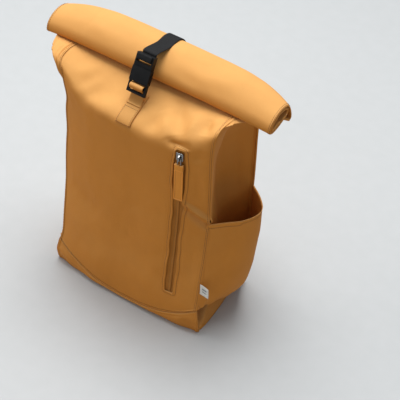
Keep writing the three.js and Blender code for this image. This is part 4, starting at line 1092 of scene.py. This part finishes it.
def pocketGrid(name):
    sign, bulge = pockets[name]["sign"], pockets[name]["bulge"]
    side = skin[name] if sign > 0 else skin[name][:, ::-1]
    part = side[:rowOf["shoulder"]]

    def wall(along, height):
        column = part[:, int(round(np.interp(along, shares["side"], np.arange(len(shares["side"])))))]
        return np.array([np.interp(height, column[:, 2], column[:, k]) for k in range(3)])
    coarse = []
    for row in pocketRows:
        for column in pocketColumns:
            bottom = mix(bag["seamCorner"], bag["seamRear"], column["along"]) + pocket["aboveSeam"]
            height = mix(bottom, pocket["top"], row["up"])
            base, front, rear = (wall(along, height) for along in (column["along"], 0, 1))
            chord = mix(front, rear, column["along"])
            x = (chord if row["out"] > 0 else base)[0]
            x += sign * (bulge * column["out"] * row["out"] + pocket["ease"])
            coarse.append([x, mix(base[1], chord[1], 0.5), height])
    coarse = np.array(coarse).reshape(len(pocketRows), len(pocketColumns), 3)
    grid = curveThrough(coarse, np.linspace(0, len(pocketRows) - 1, pocket["rows"])).transpose(1, 0, 2)
    grid = curveThrough(grid, np.linspace(0, len(pocketColumns) - 1, pocket["columns"])).transpose(1, 0, 2)
    up, along = np.linspace(0, 1, pocket["rows"])[:, None], np.linspace(0, 1, pocket["columns"])[None]
    fromTop = pocket["top"] - grid[..., 2]
    lift = sum(part["out"] * bell(fromTop, part["at"], part["width"]) for part in pocketHem)
    for wave in pocketSlack:
        lift = lift + wave["lift"] * clothNoise(grid, wave["size"], wave["seed"])
    gather = np.sin(along * pocket["gathers"] + 2 * np.sin(along * 9))
    gather = gather * bell(up, pocket["gatherAt"], pocket["gatherReach"])
    gather = pocket["gatherOut"] * gather * np.clip(np.minimum(along, 1 - along) * 6, 0, 1)
    lift = (lift + gather) * np.clip(up / pocket["gatherAt"], 0, 1)
    grid = grid + normalsOf(grid, sign) * lift[..., None]
    return grid if sign > 0 else grid[:, ::-1]


print("pockets")
for name in ("right", "left"):
    grid = pocketGrid(name)
    clothPiece(name + "Pocket", grid, bag["wall"], cloth, "pocket_" + name)
    rows = np.argmin(np.abs(grid[:, :, 2] - (pocket["top"] - pocket["hem"])), axis=0).astype(float)
    columns = np.arange(2, grid.shape[1] - 2)
    stitched(name + "PocketStitches", [gridLine(grid, rows[columns], columns)])


# front tab under the buckle, sewn on the roof
frontTab = {"across": -9, "width": 27, "first": 0.9, "last": 4.35, "lift": 0.6, "thick": 2.1, "inset": 2.3,
            "rounded": 0.07, "edge": 1.2, "fall": 0.45, "slack": 0.35, "seamLow": 1.6, "seamHigh": 24.0,
            "rows": 40, "columns": 23, "cornerRows": 0.18, "endRows": 0.1}


def roofSpot(across, roofRow, lift=0.0):
    # a place on the roof, counted in roof rows up from the shoulder, and its normal
    row = rowOf["shoulder"] + np.asarray(roofRow, float) * bag["rowSteps"]
    row, across = np.broadcast_arrays(row, np.asarray(across, float))
    grid = skin["front"]
    columns = np.arange(grid.shape[1])
    column = np.array([np.interp(x, onGrid(grid, np.full(len(columns), r), columns)[:, 0], columns)
                       for r, x in zip(row.ravel(), across.ravel())]).reshape(row.shape)
    here, out = gridLine(grid, row, column)
    return here + out * lift, out


print("front tab")
tabRows = np.linspace(frontTab["first"], frontTab["last"], frontTab["rows"])
tabAcross = np.linspace(-0.5, 0.5, frontTab["columns"])
fromEnd = (tabRows - frontTab["first"])[:, None]
rounding = 1 - frontTab["rounded"] * np.clip(1 - fromEnd / frontTab["cornerRows"], 0, 1)
place, tabOut = roofSpot(frontTab["across"] + tabAcross[None] * frontTab["width"] * rounding, tabRows[:, None])
edgeFall = np.clip(1 - (0.5 - np.abs(tabAcross)) * frontTab["width"] / frontTab["edge"], 0, 1)[None]
endFall = np.clip(1 - fromEnd / frontTab["endRows"], 0, 1)
tabLift = frontTab["lift"] + frontTab["thick"] * (1 - frontTab["fall"] * np.maximum(edgeFall, endFall) ** 2)
tabLift = tabLift + frontTab["slack"] * clothNoise(place, 12, 4.0)
tabGrid = place + tabOut * tabLift[..., None]
clothPiece("frontTab", tabGrid, frontTab["thick"], hemCloth, "front_tab")
step = (frontTab["columns"] - 1) / frontTab["width"]
low, high = frontTab["seamLow"], frontTab["seamHigh"]
left, right = frontTab["inset"] * step, (frontTab["width"] - frontTab["inset"]) * step
upright, sideways = np.linspace(low, high, 40), np.linspace(left, right, 20)
boxLines = [gridLine(tabGrid, upright, np.full(40, at)) for at in (left, right)]
boxLines += [gridLine(tabGrid, np.full(20, at), sideways) for at in (low, high)]
stitched("tabStitches", boxLines, pitch=2.8, length=2.3, thickness=0.7)

# side-release buckle, with the cloth loop on its crossbar
print("buckle and webbing")
for name, node in (("buckleSocket", "buckle_socket"), ("bucklePlug", "buckle_plug")):
    dress(roundedCopy(name, node, 0.75), plastic)
buckle = {"slope": math.radians(63), "length": 62, "barMiddle": 11, "barBehind": 0.6, "loopLevel": 5.4,
          "loopReach": 3.3, "loopWidth": 24.2, "loopThick": 2.0, "slotMiddle": 51.85, "turn": 5.9, "row": 4.05,
          "sewnOff": 3.2}
slopeUp = np.array([0, math.cos(buckle["slope"]), math.sin(buckle["slope"])])
slopeOut = np.array([0, -math.sin(buckle["slope"]), math.cos(buckle["slope"])])
socketVerts = np.array([v.co for v in frame["nodes"]["buckle_socket"].data.vertices]) * 1000
outSlope = socketVerts @ slopeOut
buckleFoot = slopeUp * (socketVerts @ slopeUp).min() + slopeOut * (outSlope.min() + outSlope.max()) / 2
buckleFoot[0] = frontTab["across"]


def inBuckle(out, up):
    return buckleFoot + slopeOut * out + slopeUp * up


loopTurns = table("out up", [
    [-1.3, -1.38], [-0.45, -1.35], [0.3, -1.25], [0.85, -0.85], [1.12, -0.3],
    [1.12, 0.4], [0.8, 1.0], [0.2, 1.25], [-0.4, 1.2], [-1.3, 0.9],
])
sewnPlaces = table("up off", [[-0.75, 0], [-0.45, 0], [-0.1, 1.6], [0.15, 0]])
sewn = [roofSpot(frontTab["across"], buckle["row"] + place["up"], buckle["sewnOff"] + place["off"])[0]
        for place in sewnPlaces]
turned = [inBuckle(turn["out"] * buckle["loopLevel"] - buckle["barBehind"],
                   turn["up"] * buckle["loopReach"] + buckle["barMiddle"]) for turn in loopTurns]
loopPiece = bandPiece("buckleLoop", sewn[:2] + turned + sewn[2:], buckle["loopWidth"], buckle["loopThick"], 8)
dress(loopPiece, hemCloth, replaced=["buckle_loop"])

strap = {"width": 25, "thick": 1.6, "lift": 1.9, "sewnAt": 18, "turns": 4, "every": 4, "slotEase": 1.6}
backGrid = skin["back"]
backColumns = np.arange(backGrid.shape[1])[::-1]
middleColumn = float(np.interp(frontTab["across"], backGrid[rowOf["neck"], ::-1, 0], backColumns))
strapEnd = rowOf["neck"] + strap["turns"] * bag["turnSteps"]
strapRowsUp = np.arange(rowOf["shoulder"] + strap["sewnAt"], strapEnd + 1, strap["every"])
overRoll, overOut = gridLine(backGrid, strapRowsUp, np.full(len(strapRowsUp), middleColumn))
turn, slot, end = buckle["turn"], buckle["slotMiddle"], buckle["length"]
above = slot + strap["slotEase"]
downPlug = [inBuckle(out, up) for out, up in (
    (-turn - 1.5, end + 5), (-turn, end - 2), (-turn, above), (0, slot), (turn, above), (turn, end))]
strapPath = np.concatenate([overRoll + overOut * strap["lift"], downPlug])
strapPath[:, 0] = frontTab["across"]
strapPiece = bandPiece("rollStrap", strapPath, strap["width"], strap["thick"], 4)
dress(strapPiece, webbing, replaced=["roll_strap"])

# plain woven label in the side seam
label = {"thick": 0.7, "curl": 2.2, "behind": 3.4, "wave": 0.5, "sag": 0.6, "steps": 14}
u, v = np.meshgrid(*[np.linspace(0, 1, label["steps"])] * 2)
labelLow, labelHigh = cadReach("side_label")
labelX = mix(labelLow[0], labelHigh[0], u)
labelY = labelHigh[1] - label["behind"] - label["curl"] * u**2 * (0.5 + 0.5 * v) + label["wave"] * np.sin(3 * v)
labelZ = mix(labelLow[2], labelHigh[2], v) - label["sag"] * u
clothPiece("sideLabel", np.stack([labelX, labelY, labelZ], -1), label["thick"], labelFinish,
           "side_label")

# padded shoulder straps: across as a share of the half width, up of the shoulder height, off of the standoff
carry = {"width": 62, "thick": 9, "standoff": 44, "ease": 0.35, "rows": 141, "sides": 48, "endRows": 6,
         "squareness": 0.55, "flatness": 0.8, "crown": 0.38, "channelAt": 0.86, "channelWidth": 0.045,
         "channel": 0.35, "thinEnd": 0.45, "stitches": (24, 156, 204, 336),
         "wrinkle": 0.5, "wrinkleSize": 20}
strapRows = table("across up off", [
    [0.37, 1.0, 0.0], [0.373, 0.97, 0.08], [0.385, 0.93, 0.4], [0.41, 0.86, 0.76], [0.45, 0.76, 0.97],
    [0.49, 0.65, 1.0], [0.52, 0.55, 0.9], [0.54, 0.47, 0.72],
])
backFace = max(row["backY"] for row in bodyRows) * halfDepth


def carryStrap(sign, side):
    face = backFace + carry["ease"] + carry["thick"] / 2
    path = np.array([[sign * row["across"] * halfWidth, face + row["off"] * carry["standoff"],
                      row["up"] * bag["shoulder"]] for row in strapRows])
    path = curveThrough(path, np.linspace(0, len(path) - 1, carry["rows"]))
    normal = bandNormal(path)
    angle = np.linspace(0, 2 * math.pi, carry["sides"] + 1)[:-1]
    across = np.sign(np.cos(angle)) * np.abs(np.cos(angle)) ** carry["squareness"]
    out = np.sign(np.sin(angle)) * np.abs(np.sin(angle)) ** carry["flatness"]
    share, row = np.abs(across), np.arange(carry["rows"])
    crown = 1 - carry["crown"] * (1 - np.sqrt(np.clip(1 - (share / 0.97) ** 4, 0, 1)))
    channel = 1 - carry["channel"] * bell(share, carry["channelAt"], carry["channelWidth"])
    ends = np.clip(np.minimum(row, row[::-1]) / carry["endRows"], 0, 1)[:, None]
    half = carry["thick"] / 2 * out * crown * channel * mix(carry["thinEnd"], 1, np.sqrt(ends))
    loops = (path[:, None] + np.array([1.0, 0, 0]) * (across * carry["width"] / 2)[None, :, None]
             + normal[:, None] * half[..., None])
    wrinkle = carry["wrinkle"] * clothNoise(loops, carry["wrinkleSize"], sign * 2.0)
    wrinkle = wrinkle * np.clip(1 - share, 0.1, 1)[None]
    loops = loops + normal[:, None] * (wrinkle * np.sign(out))[..., None]
    piece = loftedPiece("shoulderStrap" + side.title(), loops)
    boxUv(piece)
    dress(piece, strapCloth, replaced=["shoulder_strap_" + side])
    nearest = [int(np.argmin(np.abs(angle - at))) for at in np.radians(carry["stitches"])]
    stitched("strapStitches" + side.title(),
             [(loops[3:-3, k], normal[3:-3] * np.sign(out[k])) for k in nearest])


print("carrying straps")
for side, sign in (("right", 1), ("left", -1)):
    carryStrap(sign, side)
    dress(roundedCopy("adjuster" + side.title(), "strap_adjuster_" + side, 0.8), plastic)
    for kind in ("webbing", "keeper"):
        band = roundedCopy("strap" + kind.title() + side.title(), f"strap_{kind}_{side}", 0.5, 2, 50)
        boxUv(band)
        dress(band, webbing)

haulRows = table("off up", [
    [0.0, 0.97], [0.25, 0.97], [0.65, 0.972], [0.93, 0.955], [1.0, 0.925],
    [0.93, 0.895], [0.65, 0.88], [0.25, 0.885], [0.0, 0.885],
])
haul = {"reach": 34, "width": 25, "thick": 1.6}
haulSeat = cadReach("haul_loop")[0][1]
haulPath = [[0, haulSeat + row["off"] * haul["reach"], row["up"] * bag["shoulder"]] for row in haulRows]
haulPiece = bandPiece("haulLoop", haulPath, haul["width"], haul["thick"])
dress(haulPiece, webbing, replaced=["haul_loop"])


# the photographer's camera: place in metres, look direction and roll in degrees
camera = {"place": (0.96092, -1.33721, 1.65803), "azimuth": 33.161, "elevation": 42.291, "roll": 3.025,
          "sensor": 36, "focalPixels": 1387.56, "picturePixels": 400}


def makeCamera():
    azimuth, elevation, turn = (math.radians(camera[key]) for key in ("azimuth", "elevation", "roll"))
    flat = math.cos(elevation)
    back = Vector((math.sin(azimuth) * flat, -math.cos(azimuth) * flat, math.sin(elevation)))
    right = (-back).cross(Vector((0, 0, 1))).normalized()
    up = right.cross(-back)
    rolledRight = math.cos(turn) * right + math.sin(turn) * up
    rolledUp = math.cos(turn) * up - math.sin(turn) * right
    data = bpy.data.cameras.new("camera")
    data.lens = camera["focalPixels"] / camera["picturePixels"] * camera["sensor"]
    data.sensor_width, data.clip_end = camera["sensor"], 50
    obj = placed("camera", data)
    basis = Matrix((rolledRight, rolledUp, back)).transposed().to_4x4()
    obj.matrix_world = Matrix.Translation(camera["place"]) @ basis
    bpy.context.scene.camera = obj


lights = table("name x y z size power", [
    ["overhead", -0.3, 0.5, 2.5, 1.6, 82], ["leftWindow", -1.9, -0.6, 1.3, 1.4, 10],
    ["frontFill", 0.2, -2.8, 1.6, 2.2, 9],
])
studio = {"aim": (0, 0, 0.22), "colour": (0.86, 0.9, 0.94, 1), "strength": 0.38}
paper = {"reach": 6, "grain": 40.0, "low": (0.465, 0.478, 0.48), "high": (0.478, 0.49, 0.493), "rough": 0.7}


def makeLights():
    for light in lights:
        data = bpy.data.lights.new(light["name"], "AREA")
        data.shape, data.size, data.energy = "SQUARE", light["size"], light["power"]
        obj = placed(light["name"], data)
        obj.location = (light["x"], light["y"], light["z"])
        obj.rotation_euler = (Vector(studio["aim"]) - obj.location).to_track_quat("-Z", "Y").to_euler()
    world = bpy.data.worlds.new("studio")
    bpy.context.scene.world = world
    world.use_nodes = True
    sky = world.node_tree.nodes["Background"].inputs
    sky[0].default_value, sky[1].default_value = studio["colour"], studio["strength"]


def makeFloor():
    mesh = bpy.data.meshes.new("floor")
    reach = paper["reach"]
    places = [(-reach, -reach, 0), (reach, -reach, 0), (reach, reach, 0), (-reach, reach, 0)]
    mesh.from_pydata(places, [], [(0, 1, 2, 3)])
    floor = placed("floor", mesh)
    shader = Shader("pale paper floor")
    shade = shader.ramp(shader.noise(paper["grain"]), [(0.3, paper["low"]), (0.7, paper["high"])])
    floor.data.materials.append(shader.finish(Base_Color=shade, Roughness=paper["rough"]))


print("camera, light and floor")
makeCamera()
makeLights()
makeFloor()
bpy.context.scene.view_settings.view_transform = "Standard"
